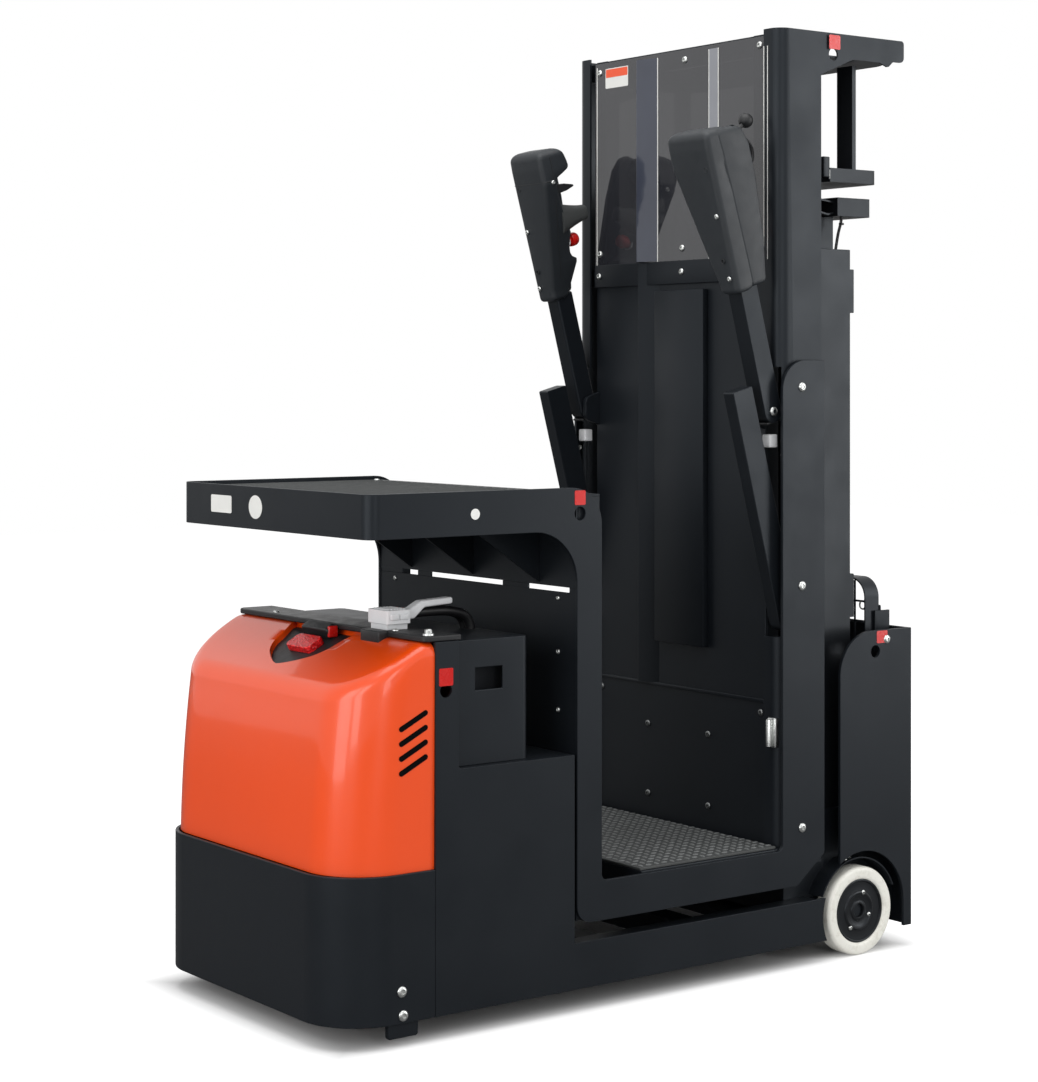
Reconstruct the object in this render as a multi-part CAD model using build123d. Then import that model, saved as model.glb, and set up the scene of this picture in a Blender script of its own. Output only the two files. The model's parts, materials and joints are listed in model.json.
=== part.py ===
from build123d import *
import math
import os

# A small electric order picker: an orange power unit at the nose, a platform
# with side guards that rides up a three stage mast at the tail.
# Millimetres, +X from the nose to the mast, +Z up, the near side is -Y.
# The nose group hangs on NOSE, the mast group on TAIL, widths on HALF.

# Whole truck
LENGTH = 1560.0
WIDTH = 750.0
HEIGHT = 2088.0        # top of the sheet frames with the mast down
NOSE = -LENGTH / 2
TAIL = LENGTH / 2
HALF = WIDTH / 2

# Clearances
RUN_GAP = 7.0          # between the carriage and the standing chassis plates
STAGE_GAP = 6.0        # between two mast stages, side to side
FIT = 0.3              # round pieces that turn on a pin
ROLLER_GAP = 0.6       # mast roller to the flange of its channel

# Plates
SIDE_PLATE = 8.0       # outer side plates of chassis and carriage
SHEET = 5.0            # bent sheet pieces
INNER = HALF - SIDE_PLATE

# Mast wheels
WHEEL_D = 200.0
WHEEL_W = 48.0
WHEEL_X = TAIL - 162.0
WHEEL_Z = WHEEL_D / 2
RIM_R = WHEEL_D / 2 - 28.0
STUB_R = 15.0
WHEEL_OUT = HALF - 1.0
WHEEL_IN = WHEEL_OUT - WHEEL_W

# Drive unit
DRIVE_D = 210.0
DRIVE_W = 70.0
DRIVE_X = NOSE + 303.0
DRIVE_AXLE_R = 17.0
DRIVE_RIM_R = DRIVE_D / 2 - 35.0
CHEEK_GAP = 8.0        # between the drive wheel and the cheeks of its fork
CHEEK_T = 30.0
CROWN_Z = DRIVE_D + 12.0
CROWN_T = 30.0
NECK_R = 60.0
NECK_TOP = CROWN_Z + 78.0
TURNTABLE_R = NECK_R + 18.0
TURNTABLE_T = 20.0
MOTOR_R = NECK_R + 8.0
MOTOR_H = 200.0
MOUNT_Z = CROWN_Z + 40.0
MOUNT_T = 12.0

# Power unit
SKIRT_Z = 48.0         # underside of the plates and of the bumper
BUMPER_X = NOSE + 226.0      # where bumper and hood meet the side plates
BUMPER_TOP = 340.0
BUMPER_T = 8.0
NOSE_R = 130.0         # plan radius of the two nose corners
HOOD_T = 5.0
HOOD_SET = 6.0         # hood stands this far inside the bumper, all round
HOOD_LEAN = 40.0       # how far the front of the hood leans back at full height
HOOD_FLARE = 3.0       # how far its sides lean out at full height
HOOD_TOP = 788.0
SHOULDER = (NOSE + 126.0, HOOD_TOP - 42.0)   # a point of the sloping top, from the side
SLOPE = 30.0           # degrees
RECESS_X = SHOULDER[0] + 14.0
RECESS_REACH = 104.0   # half the length and half the width of the lamp recess
RECESS_BULGE = 82.0    # half its width at the deck end
RECESS_DEPTH = 12.0
LENS_X = SHOULDER[0] + 32.0
VISOR_X = SHOULDER[0] + 71.0
VENT_X = BUMPER_X - 50.0
VENT_Z = BUMPER_TOP + 297.0
VENT_PITCH = 29.0
VENT_L = 72.0
VENT_W = 9.0
VENT_TILT = 26.0       # degrees
VENT_ROWS = 4
DECK_T = 12.0
DECK_X0 = NOSE + 204.0
DECK_TOP = HOOD_TOP + DECK_T
BOX_X0 = NOSE + 293.0  # battery box
BOX_X1 = BOX_X0 + 178.0
BOX_Y = HALF - 20.0
BOX_TOP = HOOD_TOP - 3.0
BOX_WALL = 4.0
BOX_R = 15.0
HOLD_X0 = BOX_X0 + 43.0      # hand hole in each end of the battery box
HOLD_W = 68.0
HOLD_Z = BOX_TOP - 102.0
HOLD_H = 45.0
SHELF_Z = BOX_TOP - 252.0    # top of the shelf that the battery box stands on
SHELF_T = 8.0
BULKHEAD_X = NOSE + 574.0    # rear face of the power unit
BULKHEAD_T = 8.0
STRIP_X = BUMPER_X + 56.0    # rear edge of the upright strip of the side plate
PLUG_X0 = DECK_X0 + 2.0      # battery plug, on the deck
PLUG_X1 = PLUG_X0 + 58.0
PLUG_Y0 = -HALF + 143.0
PLUG_Y1 = PLUG_Y0 + 74.0
PLUG_H = 40.0
LEVER_Y = PLUG_Y0 + 17.0
LEVER_W = 25.0
CABLE_R = 9.0
SKID_X = NOSE + 158.0
SKID_T = 12.0

# Straddle beams and tail
BEAM_TOP = 144.0
BEAM_W = 47.0
BEAM_WALL = 5.0
BEAM_SET = 4.0         # tubes and cross members stand this far inside the plate edges
CROSS_W = 60.0         # cross members between the beams
CROSS_H = 50.0
ARCH_R = WHEEL_D / 2 + 18.0  # around the mast wheel
FENDER_T = 3.0
TAIL_X = TAIL - 227.0  # front edge of the tail side plates
TAIL_TOP = 734.0
TAIL_T = 8.0
TAIL_R = 100.0
TAIL_ARCH_X = WHEEL_X + 7.0
TAIL_ARCH_Z = WHEEL_Z + 5.0
TAIL_ARCH_R = ARCH_R + 12.0
CARRIER_T = 10.0       # plate that carries the stub axle
CARRIER_IN = INNER - BEAM_W - CARRIER_T
CARRIER_TOP = WHEEL_D + 130.0
LIFT_HOLE_R = 14.0
NOSE_HOLE = (BUMPER_X + 25.0, HOOD_TOP - 97.0)    # lifting holes, x and z
TAIL_HOLE = (TAIL - 116.0, TAIL_TOP - 48.0)

# Mast
RAIL_DEPTH = 40.0      # across the truck
RAIL_WALL = 10.0
MAST_X = WHEEL_X - 34.0      # centre plane of all rails
OUTER_W = 128.0        # fore and aft
OUTER_OUT = CARRIER_IN       # outer face of the outer rails
OUTER_Z0 = SKIRT_Z + 18.0
OUTER_TOP = HEIGHT - 483.0
STAGE_STEP = 10.0      # each stage is this much narrower per side
STAGE_PITCH = RAIL_DEPTH + STAGE_GAP
MIDDLE_OUT = OUTER_OUT - STAGE_PITCH
INNER_OUT = MIDDLE_OUT - STAGE_PITCH
CARRY_OUT = INNER_OUT - STAGE_PITCH
MIDDLE_W = OUTER_W - 2 * STAGE_STEP
INNER_W = MIDDLE_W - STAGE_STEP
FOOT_T = 18.0
MIDDLE_Z0 = OUTER_Z0 + 6.0
MIDDLE_TOP = OUTER_TOP + 77.0
MIDDLE_BAR = 43.0
INNER_Z0 = MIDDLE_Z0 + 70.0
INNER_TOP = MIDDLE_TOP + 76.0
INNER_BAR = 32.0
TOP_BAR_X0 = MAST_X + 33.0   # top bars of the middle stage
TOP_BAR_X1 = MAST_X + 136.0
CROSS_BAR_X0 = MAST_X + 58.0
HANGER_X = MAST_X + 65.0     # flat bars that stand on the inner stage
HANGER_T = 12.0
HANGER_W = 50.0
HANGER_OUT = OUTER_OUT + 5.0
ROLLER_RISE = (60.0, 440.0)   # roller centres above the foot of a stage
ROLLER_W = 26.0
ROLLER_PIN_R = 16.0
TIE_H = 60.0
REAR_TIE_H = 100.0
REAR_TIE_T = 12.0
REAR_TIES = (760.0, OUTER_TOP - 145.0)
CYL_R = 32.0
CYL_GAP = 6.0          # tie plates slide past the cylinder tube
CYL_FRONT = MAST_X - CYL_R - CYL_GAP
CYL_BACK = MAST_X + CYL_R + CYL_GAP
ROD_R = 20.0
CYL_TOP = OUTER_TOP - 485.0
SHEAVE_R = 32.0
SHEAVE_X = MAST_X - 9.0
SHEAVE_Z = INNER_TOP - 58.0
SHEAVE_W = 20.0
CHAIN_Y = 75.0
CHAIN_T = 8.0
CHAIN_W = 16.0
CHAIN_FOOT = 320.0     # lower end of the front run, at the carriage

# Wire guard behind the mast
HOOP_X = TAIL - 90.0
HOOP_W = 44.0
HOOP_T = 4.0
HOOP_R = 46.0
HOOP_OUT = HALF - 59.0
HOOP_TOP = TAIL_TOP + 114.0
HOOP_FOOT = TAIL_TOP - 60.0
FOOT_TAB = 50.0        # height of the tabs that bolt the hoop to the cross plate
WIRE_R = 2.5
WIRE_PITCH = 56.0
WIRE_ROWS = (TAIL_TOP + 14.0, TAIL_TOP + 60.0)

# Carriage
POST_X0 = BULKHEAD_X + RUN_GAP
POST_X1 = POST_X0 + 65.0
SILL_Z = BEAM_TOP + 38.0
SILL_TOP = SILL_Z + 83.0
UP_X0 = MAST_X - 207.0
UP_X1 = UP_X0 + 127.0
UP_TOP = HEIGHT - 738.0
TRAY_TOP = 1084.0
TRAY_LOW = TRAY_TOP - 89.0
TRAY_X0 = NOSE + 68.0
TRAY_R = 28.0
TRAY_JOINT = TRAY_X0 + 40.0    # rim meets the side plates here
TRAY_T = 5.0
TRAY_SINK = 9.0        # mat surface below the rim
POST_BEND = 108.0      # inner corner between tray and post
POST_HEAD = TRAY_LOW - POST_BEND - 3.0    # tray plate meets the post plate here
POST_HOLE = (POST_X0 + 7.0, TRAY_TOP - 54.0)
MAT_T = 6.0
PAN_TOP = TRAY_TOP - TRAY_SINK - MAT_T
PANEL_X = POST_X0 + 5.0        # middle of the cross panel
PANEL_T = 6.0
PANEL_LIP = 30.0
SLOT_Z = 864.0         # see-through slots of the cross panel
SLOT_H = 11.0
SLOT_SPANS = ((22.0 - INNER, 167.0 - INNER), (257.0 - INNER, INNER - 203.0), (INNER - 152.0, INNER - 90.0))
RIB_X = PANEL_X - 226.0        # front ends of the ribs under the tray
RIB_Y = HALF - 135.0
FLOOR_X0 = POST_X1 + 113.0
FLOOR_X1 = UP_X0 - 10.0
FLOOR_Z = SILL_TOP + 10.0      # top of the mat
FLOOR_LOW = SILL_Z + 6.0
FRAME_OUT = INNER - 4.0        # outer face of the sheet frames
FRAME_IN = FRAME_OUT - SHEET
FRAME_TOP = HEIGHT
FRAME_R = 30.0
FRAME_LIP = FRAME_OUT - 51.0   # inner edge of the front flange
FRAME_X1 = UP_X1 + 1.0
ARM_END = TAIL - 12.0
ROOF_Z = FRAME_TOP - 55.0
ROOF_HOLE = (UP_X1 + 39.0, FRAME_TOP - 48.0)
BACK_X = UP_X0 + 14.0          # face of the back panel and window
BACK_Y = FRAME_LIP - 9.0
BACK_TOP = HEIGHT - 503.0
WINDOW_TOP = FRAME_TOP - 13.0
WINDOW_LAP = 30.0
RAISED_T = 9.0         # raised field pressed into the back panel
RAISED_Y0 = -BACK_Y + 153.0
RAISED_W = 104.0
RAISED_Z = (FLOOR_LOW + 551.0, BACK_TOP - 73.0)
POST_W = 40.0
POST_D = 34.0
CARRY_Z0 = 215.0       # plates that hold the mast rollers of the carriage
CARRY_TOP = 740.0
CARRY_T = 12.0
CARRY_RISE = (50.0, 480.0)
BACK_BEAMS = (FLOOR_Z + 25.0, CARRY_TOP - 50.0, BACK_TOP - 50.0, WINDOW_TOP + 5.0 - POST_W)

# Side guards
LEAN = 15.0            # degrees from upright at rest
ARM_X = UP_X0 - 7.0
ARM_Z = HEIGHT - 852.0
ARM_W = 50.0           # tube, fore and aft
ARM_OUT = HALF - 23.0
ARM_IN = ARM_OUT - 44.0
ARM_LEN = 290.0
PIN_R = 10.0
SEAT_GAP = 0.5         # arm tube in its seat in the pod
POD_S0 = ARM_LEN - 12.0
POD_S1 = POD_S0 + 362.0
POD_OUT = HALF - 13.0
POD_IN = POD_OUT - 122.0
POD_FOOT_IN = POD_IN + 62.0  # inner side of the pod at its slim foot
BUTTON_S = POD_S0 + 98.0     # stop button, along and across the pod
BUTTON_T = 38.0
BUTTON_R = 11.0
BUTTON_SEAT = POD_IN + 46.0
BUTTON_L = 26.0
GRIP_Y = POD_IN - 24.0       # inner end of the stem of the grip
GRIP_W = 20.0
BAR_X = BACK_X + 24.0
BAR_Z = ARM_Z - 460.0
BAR_LEN = 527.0
BAR_W = 59.0
BAR_OUT = ARM_OUT
BAR_IN = BAR_OUT - 34.0
NOTCH_Z = (BAR_Z - 41.0, ARM_Z + 99.0)    # frame flange left out where the guards pivot
FRAME_BOLTS = (SILL_TOP + 45.0, BAR_Z + 71.0, UP_TOP - 60.0)


def block(x0, x1, y0, y1, z0, z1):
    """Box between two corners."""
    size = Box(x1 - x0, y1 - y0, z1 - z0)
    return Pos((x0 + x1) / 2, (y0 + y1) / 2, (z0 + z1) / 2) * size


def outline(rows):
    """Flat face from rows of (first, second, corner radius)."""
    corners = [(first, second) for first, second, radius in rows]
    radii = [radius for first, second, radius in rows]
    return make_face(FilletPolyline(*corners, radius=radii, close=True))


def side_form(rows, y0, y1):
    """Outline in X and Z, given thickness from y0 to y1."""
    face = Plane.XZ * outline(rows)
    return Pos(0, y0, 0) * extrude(face, amount=y1 - y0, dir=(0, 1, 0))


def plan_form(rows, z0, z1):
    """Outline in X and Y, given height from z0 to z1."""
    return Pos(0, 0, z0) * extrude(outline(rows), amount=z1 - z0)


def across(x, z, radius, y0, y1):
    """Round bar along Y."""
    bar = Cylinder(radius, y1 - y0, rotation=(90, 0, 0))
    return Pos(x, (y0 + y1) / 2, z) * bar


def upright_bar(x, y, radius, z0, z1):
    """Round bar along Z."""
    return Pos(x, y, (z0 + z1) / 2) * Cylinder(radius, z1 - z0)


def other_side(shape):
    """The same piece on the far side."""
    return mirror(shape, about=Plane.XZ)


def pair(shape):
    """A near piece and its far twin, as two solids."""
    return Compound(children=[shape, other_side(shape)])


def save(name, shape):
    export_step(shape, "parts/" + name + ".step")


# Chassis

def lift_hole(place):
    """Cutter for the lifting hole of a near side plate, at (x, z)."""
    return across(place[0], place[1], LIFT_HOLE_R, -HALF - 1, -INNER + 1)


def side_plates():
    """Side plates of the power unit, each with its upright strip."""
    rows = [
        (BUMPER_X, SKIRT_Z, 0),
        (BULKHEAD_X, SKIRT_Z, 0),
        (BULKHEAD_X, SHELF_Z, 0),
        (STRIP_X, SHELF_Z, 6),
        (STRIP_X, HOOD_TOP, 0),
        (BUMPER_X, HOOD_TOP, 0),
    ]
    return pair(side_form(rows, -HALF, -INNER) - lift_hole(NOSE_HOLE))


def beam_plates():
    """Outer plates of the straddle beams, cut round to the mast wheels."""
    plate = block(BULKHEAD_X, WHEEL_X, -HALF, -INNER, SKIRT_Z, BEAM_TOP)
    return pair(plate - across(WHEEL_X, WHEEL_Z, ARCH_R, -HALF - 1, -INNER + 1))


def beam_tube():
    """Near beam tube, open at both ends."""
    x0 = BUMPER_X
    x1 = WHEEL_X - ARCH_R - BEAM_SET
    y0 = -INNER
    y1 = -INNER + BEAM_W
    low = SKIRT_Z + BEAM_SET
    high = BEAM_TOP - BEAM_SET
    wall = BEAM_WALL
    hollow = block(x0 - 1, x1 + 1, y0 + wall, y1 - wall, low + wall, high - wall)
    return block(x0, x1, y0, y1, low, high) - hollow


def chassis_frame():
    """Two beam tubes, cross members, bulkhead, battery shelf and mast foot."""
    beam_in = INNER - BEAM_W
    near = beam_tube()
    frame = near + other_side(near)
    low = SKIRT_Z + BEAM_SET
    for x in (POST_X1 + 74, UP_X0 - 167):
        frame += block(x, x + CROSS_W, -beam_in, beam_in, low, low + CROSS_H)
    bulkhead_x0 = BULKHEAD_X - BULKHEAD_T
    frame += block(bulkhead_x0, BULKHEAD_X, -INNER, INNER, BEAM_TOP - BEAM_SET, SHELF_Z)
    frame += block(BUMPER_X, bulkhead_x0, -INNER, INNER, SHELF_Z - SHELF_T, SHELF_Z)
    foot_x0 = MAST_X - OUTER_W / 2 - 60
    foot_x1 = MAST_X + OUTER_W / 2 + 100
    foot_z0 = OUTER_Z0 - FOOT_T
    frame += block(foot_x0, foot_x1, -OUTER_OUT, OUTER_OUT, foot_z0, OUTER_Z0)
    beam_end = WHEEL_X - ARCH_R - BEAM_SET
    return frame + block(foot_x0, beam_end, -beam_in, beam_in, foot_z0, OUTER_Z0)


def axle_carriers():
    """Inner plate, stub axle and bent fender of one mast wheel."""
    plate_out = CARRIER_IN + CARRIER_T
    x0 = MAST_X - OUTER_W / 2 - 90
    x1 = TAIL - TAIL_T
    rows = [
        (x0, OUTER_Z0, 0),
        (x1, OUTER_Z0, 0),
        (x1, CARRIER_TOP, 0),
        (x0 + 90, CARRIER_TOP, 60),
        (x0, WHEEL_D - 10, 0),
    ]
    carrier = side_form(rows, -plate_out, -CARRIER_IN)
    carrier += across(WHEEL_X, WHEEL_Z, STUB_R, -WHEEL_OUT + 12, -plate_out)
    carrier += across(WHEEL_X, WHEEL_Z, STUB_R + 9, -WHEEL_IN + 5, -plate_out)
    ring = across(WHEEL_X, WHEEL_Z, ARCH_R + FENDER_T, -INNER + 1, -plate_out)
    ring -= across(WHEEL_X, WHEEL_Z, ARCH_R, -HALF, 0)
    reach = 2 * ARCH_R
    ring -= block(WHEEL_X - reach, WHEEL_X + reach, -HALF, 0, -reach, BEAM_TOP)
    return pair(carrier + ring)


def tail_plates():
    """Side plates of the tail, cut round over the mast wheels."""
    rows = [
        (TAIL_X, SKIRT_Z, 0),
        (TAIL, SKIRT_Z, 0),
        (TAIL, TAIL_TOP, 0),
        (TAIL_X, TAIL_TOP, TAIL_R),
    ]
    near = side_form(rows, -HALF, -INNER) - lift_hole(TAIL_HOLE)
    near -= across(TAIL_ARCH_X, TAIL_ARCH_Z, TAIL_ARCH_R, -HALF - 1, -INNER + 1)
    x0 = TAIL_ARCH_X - TAIL_ARCH_R
    x1 = TAIL_ARCH_X + TAIL_ARCH_R
    return pair(near - block(x0, x1, -HALF - 1, -INNER + 1, 0, TAIL_ARCH_Z))


def tail_cross_plate():
    return block(TAIL - TAIL_T, TAIL, -INNER, INNER, SKIRT_Z, TAIL_TOP)


def nose_plan(inset, back):
    """Plan of the rounded nose, set in from the bumper."""
    front = NOSE + inset
    side = HALF - inset
    radius = NOSE_R - inset
    return [
        (back, -side, 0),
        (front, -side, radius),
        (front, side, radius),
        (back, side, 0),
    ]


def bumper():
    shell = plan_form(nose_plan(0, BUMPER_X), SKIRT_Z, BUMPER_TOP)
    hollow = plan_form(nose_plan(BUMPER_T, BUMPER_X + 1), SKIRT_Z - 1, BUMPER_TOP + 1)
    return shell - hollow


def hood_block(inset, extra):
    """Hood body, its faces set in by inset and its open ends longer by extra."""
    back = BUMPER_X + extra
    low = outline(nose_plan(HOOD_SET + inset, back))
    front = NOSE + HOOD_SET + HOOD_LEAN + inset
    side = HALF - HOOD_SET + HOOD_FLARE - inset
    radius = NOSE_R - HOOD_SET - inset
    high = outline([(back, -side, 0), (front, -side, radius), (front, side, radius), (back, side, 0)])
    body = loft([Pos(0, 0, BUMPER_TOP) * low, Pos(0, 0, HOOD_TOP) * high], ruled=True)
    if extra:
        body += plan_form(nose_plan(HOOD_SET + inset, back), BUMPER_TOP - extra, BUMPER_TOP)
    rise = math.tan(math.radians(SLOPE))
    x_front = NOSE - 50
    drop = inset / math.cos(math.radians(SLOPE))
    z_front = SHOULDER[1] + (x_front - SHOULDER[0]) * rise - drop
    top = HOOD_TOP - inset
    x_top = SHOULDER[0] + (top + drop - SHOULDER[1]) / rise
    under_slope = [
        (x_front, BUMPER_TOP - extra, 0),
        (back, BUMPER_TOP - extra, 0),
        (back, top, 0),
        (x_top, top, 0),
        (x_front, z_front, 0),
    ]
    return body & side_form(under_slope, -HALF, HALF)


def on_slope(x, depth):
    """Place on the sloping top of the hood at x, sunk by depth, turned with the slope."""
    angle = math.radians(SLOPE)
    z = SHOULDER[1] + (x - SHOULDER[0]) * math.tan(angle) - depth / math.cos(angle)
    return Pos(x, 0, z) * Rot(0, -SLOPE, 0)


def lamp_recess(depth):
    """Pointed oval sunk into the sloping top of the hood, in the top's own plane."""
    tip = (-RECESS_REACH, 0)
    waist = -10.0
    left_end = (RECESS_REACH, RECESS_BULGE)
    right_end = (RECESS_REACH, -RECESS_BULGE)
    left = ThreePointArc(tip, (waist, RECESS_REACH), left_end)
    right = ThreePointArc(right_end, (waist, -RECESS_REACH), tip)
    face = make_face([left.edge(), Line(left_end, right_end).edge(), right.edge()])
    return on_slope(RECESS_X, 0) * Pos(0, 0, -depth) * extrude(face, amount=40)


def hood():
    """Moulded hood shell with a sunk lamp recess and slanted vents."""
    inner = hood_block(HOOD_T, 2)
    shell = hood_block(0, 0) - (inner - lamp_recess(RECESS_DEPTH + HOOD_T))
    shell -= lamp_recess(RECESS_DEPTH)
    slot = Box(VENT_L, BUMPER_T * 5, VENT_W)
    for row in range(VENT_ROWS):
        z = VENT_Z - row * VENT_PITCH
        for side in (-1, 1):
            shell -= Pos(VENT_X, side * HALF, z) * Rot(0, -VENT_TILT, 0) * slot
    return shell


def deck_plate():
    side = HALF - HOOD_SET
    rows = [(BOX_X0, -side, 0), (DECK_X0, -side, 18), (DECK_X0, side, 18), (BOX_X0, side, 0)]
    return plan_form(rows, HOOD_TOP, DECK_TOP)


def battery_box():
    """Sheet box with rounded rear corners and a hand hole in each end."""
    rows = [(BOX_X0, -BOX_Y, 0), (BOX_X1, -BOX_Y, BOX_R), (BOX_X1, BOX_Y, BOX_R), (BOX_X0, BOX_Y, 0)]
    x0 = BOX_X0 + BOX_WALL
    x1 = BOX_X1 - BOX_WALL
    y1 = BOX_Y - BOX_WALL
    inner_r = BOX_R - BOX_WALL
    hollow = [(x0, -y1, 0), (x1, -y1, inner_r), (x1, y1, inner_r), (x0, y1, 0)]
    box = plan_form(rows, SHELF_Z, BOX_TOP)
    box -= plan_form(hollow, SHELF_Z + BOX_WALL, BOX_TOP - BOX_WALL)
    for side in (-1, 1):
        y = side * BOX_Y
        box -= block(HOLD_X0, HOLD_X0 + HOLD_W, y - 10, y + 10, HOLD_Z, HOLD_Z + HOLD_H)
    return box


def battery_block():
    """Plain mass of the battery, inside its box."""
    side = BOX_Y - 10 * BOX_WALL
    return block(BOX_X0 + 6, BOX_X1 - 6, -side, side, SHELF_Z + BOX_WALL, BOX_TOP - 10)


def skid_feet():
    """Steel pad bolted inside the bumper at each front corner."""
    rows = [(SKID_X - 38, 18, 6), (SKID_X + 32, 18, 6), (SKID_X + 38, 132, 6), (SKID_X - 42, 132, 6)]
    out = HALF - BUMPER_T - 0.85
    return pair(side_form(rows, -out, -out + SKID_T))


def drive_mount():
    """Cross plate that carries the steered drive unit in its bore."""
    x0 = BUMPER_X - 60
    z1 = MOUNT_Z + MOUNT_T
    plate = block(x0, BUMPER_X, -INNER + BUMPER_T, INNER - BUMPER_T, MOUNT_Z, z1)
    plate += block(BUMPER_X, BULKHEAD_X - BULKHEAD_T, -INNER, INNER, MOUNT_Z, z1)
    return plate - upright_bar(DRIVE_X, 0, NECK_R + FIT, MOUNT_Z - 1, z1 + 1)


def lamp_lens():
    height = 16.0
    lens = fillet(Box(44, 92, height).edges().filter_by(Axis.Z), 12)
    return on_slope(LENS_X, RECESS_DEPTH) * Pos(0, 0, height / 2) * lens


def lamp_visor():
    height = 26.0
    visor = fillet(Box(26, 104, height).edges().filter_by(Axis.X), 8)
    return on_slope(VISOR_X, RECESS_DEPTH) * Pos(0, 0, height / 2) * visor


def battery_plug():
    """Two part battery plug on its block, on the deck."""
    seat = DECK_TOP + 12
    base = block(PLUG_X0 + 4, PLUG_X1 - 4, PLUG_Y0 + 7, PLUG_Y1 - 7, DECK_TOP, seat)
    body = block(PLUG_X0, PLUG_X1, PLUG_Y0, PLUG_Y1, seat, DECK_TOP + PLUG_H)
    return base + fillet(body.edges().filter_by(Axis.Z), 5)


def plug_lever():
    """Raised lever that pulls the plug apart."""
    x0 = PLUG_X1
    end = x0 + 116
    rows = [
        (x0, DECK_TOP + 18, 0),
        (x0 + 20, DECK_TOP + 18, 0),
        (x0 + 46, DECK_TOP + 40, 12),
        (end, DECK_TOP + 44, 0),
        (end, DECK_TOP + 58, 0),
        (x0 + 38, DECK_TOP + 54, 12),
        (x0, DECK_TOP + 34, 0),
    ]
    return side_form(rows, LEVER_Y, LEVER_Y + LEVER_W)


def battery_cables():
    """Two stiff leads from the plug over into the battery lid."""
    route = [(0, 26), (30, 26), (76, 40), (126, 38), (164, 18), (164, BOX_TOP - DECK_TOP)]
    leads = []
    for y in (PLUG_Y1 - 20, PLUG_Y1):
        points = [(PLUG_X1 + run, y, DECK_TOP + rise) for run, rise in route]
        path = FilletPolyline(*points, radius=[60, 70, 26, 20])
        start = Plane(origin=points[0], z_dir=(1, 0, 0))
        leads.append(sweep(start * Circle(CABLE_R), path=path))
    return Compound(children=leads)


def rail(side_out, width, z0, z1):
    """Near C rail, open towards the middle of the truck."""
    x0 = MAST_X - width / 2
    x1 = MAST_X + width / 2
    body = block(x0, x1, -side_out, -side_out + RAIL_DEPTH, z0, z1)
    y0 = -side_out + RAIL_WALL
    y1 = -side_out + RAIL_DEPTH + 1
    return body - block(x0 + RAIL_WALL, x1 - RAIL_WALL, y0, y1, z0 - 1, z1 + 1)


def rollers(side_out, parent_width, z0, rises):
    """Rollers on the outside of a near stage, running in its parent's channel."""
    radius = parent_width / 2 - RAIL_WALL - ROLLER_GAP
    far = side_out + STAGE_GAP + ROLLER_W
    pins = [across(MAST_X, z0 + rise, ROLLER_PIN_R, -far, -side_out) for rise in rises]
    discs = [across(MAST_X, z0 + rise, radius, -far, -side_out - STAGE_GAP + 2) for rise in rises]
    return sum(discs, sum(pins[1:], pins[0]))


def mast_outer():
    """Outer rails, joined behind by two cross members."""
    near = rail(OUTER_OUT, OUTER_W, OUTER_Z0, OUTER_TOP)
    mast = near + other_side(near)
    x0 = MAST_X + OUTER_W / 2
    for z in REAR_TIES:
        mast += block(x0, x0 + REAR_TIE_T, -OUTER_OUT, OUTER_OUT, z, z + REAR_TIE_H)
    return mast


def mast_middle():
    """Middle rails with rollers, top bars, foot ties and chain anchors."""
    top = MIDDLE_TOP + MIDDLE_BAR
    near = rail(MIDDLE_OUT, MIDDLE_W, MIDDLE_Z0, MIDDLE_TOP)
    near += rollers(MIDDLE_OUT, OUTER_W, MIDDLE_Z0, ROLLER_RISE)
    near += block(TOP_BAR_X0, TOP_BAR_X1, -MIDDLE_OUT - 36, -MIDDLE_OUT + RAIL_DEPTH, MIDDLE_TOP, top)
    mast = near + other_side(near)
    span = MIDDLE_OUT - RAIL_DEPTH
    mast += block(CROSS_BAR_X0, TOP_BAR_X1, -span, span, MIDDLE_TOP, top)
    mast += block(MAST_X - ROD_R - 6, CROSS_BAR_X0, -30, 30, MIDDLE_TOP, top)
    tie_t = 16.0
    tie_top = MIDDLE_Z0 + TIE_H
    mast += block(CYL_FRONT - tie_t, CYL_FRONT, -span, span, MIDDLE_Z0, tie_top)
    mast += block(CYL_BACK, CYL_BACK + tie_t, -span, span, MIDDLE_Z0, tie_top)
    for y in (-CHAIN_Y, CHAIN_Y):
        mast += block(CYL_BACK - 20, CYL_BACK, y - 15, y + 15, MIDDLE_Z0, tie_top)
    return mast


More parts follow.
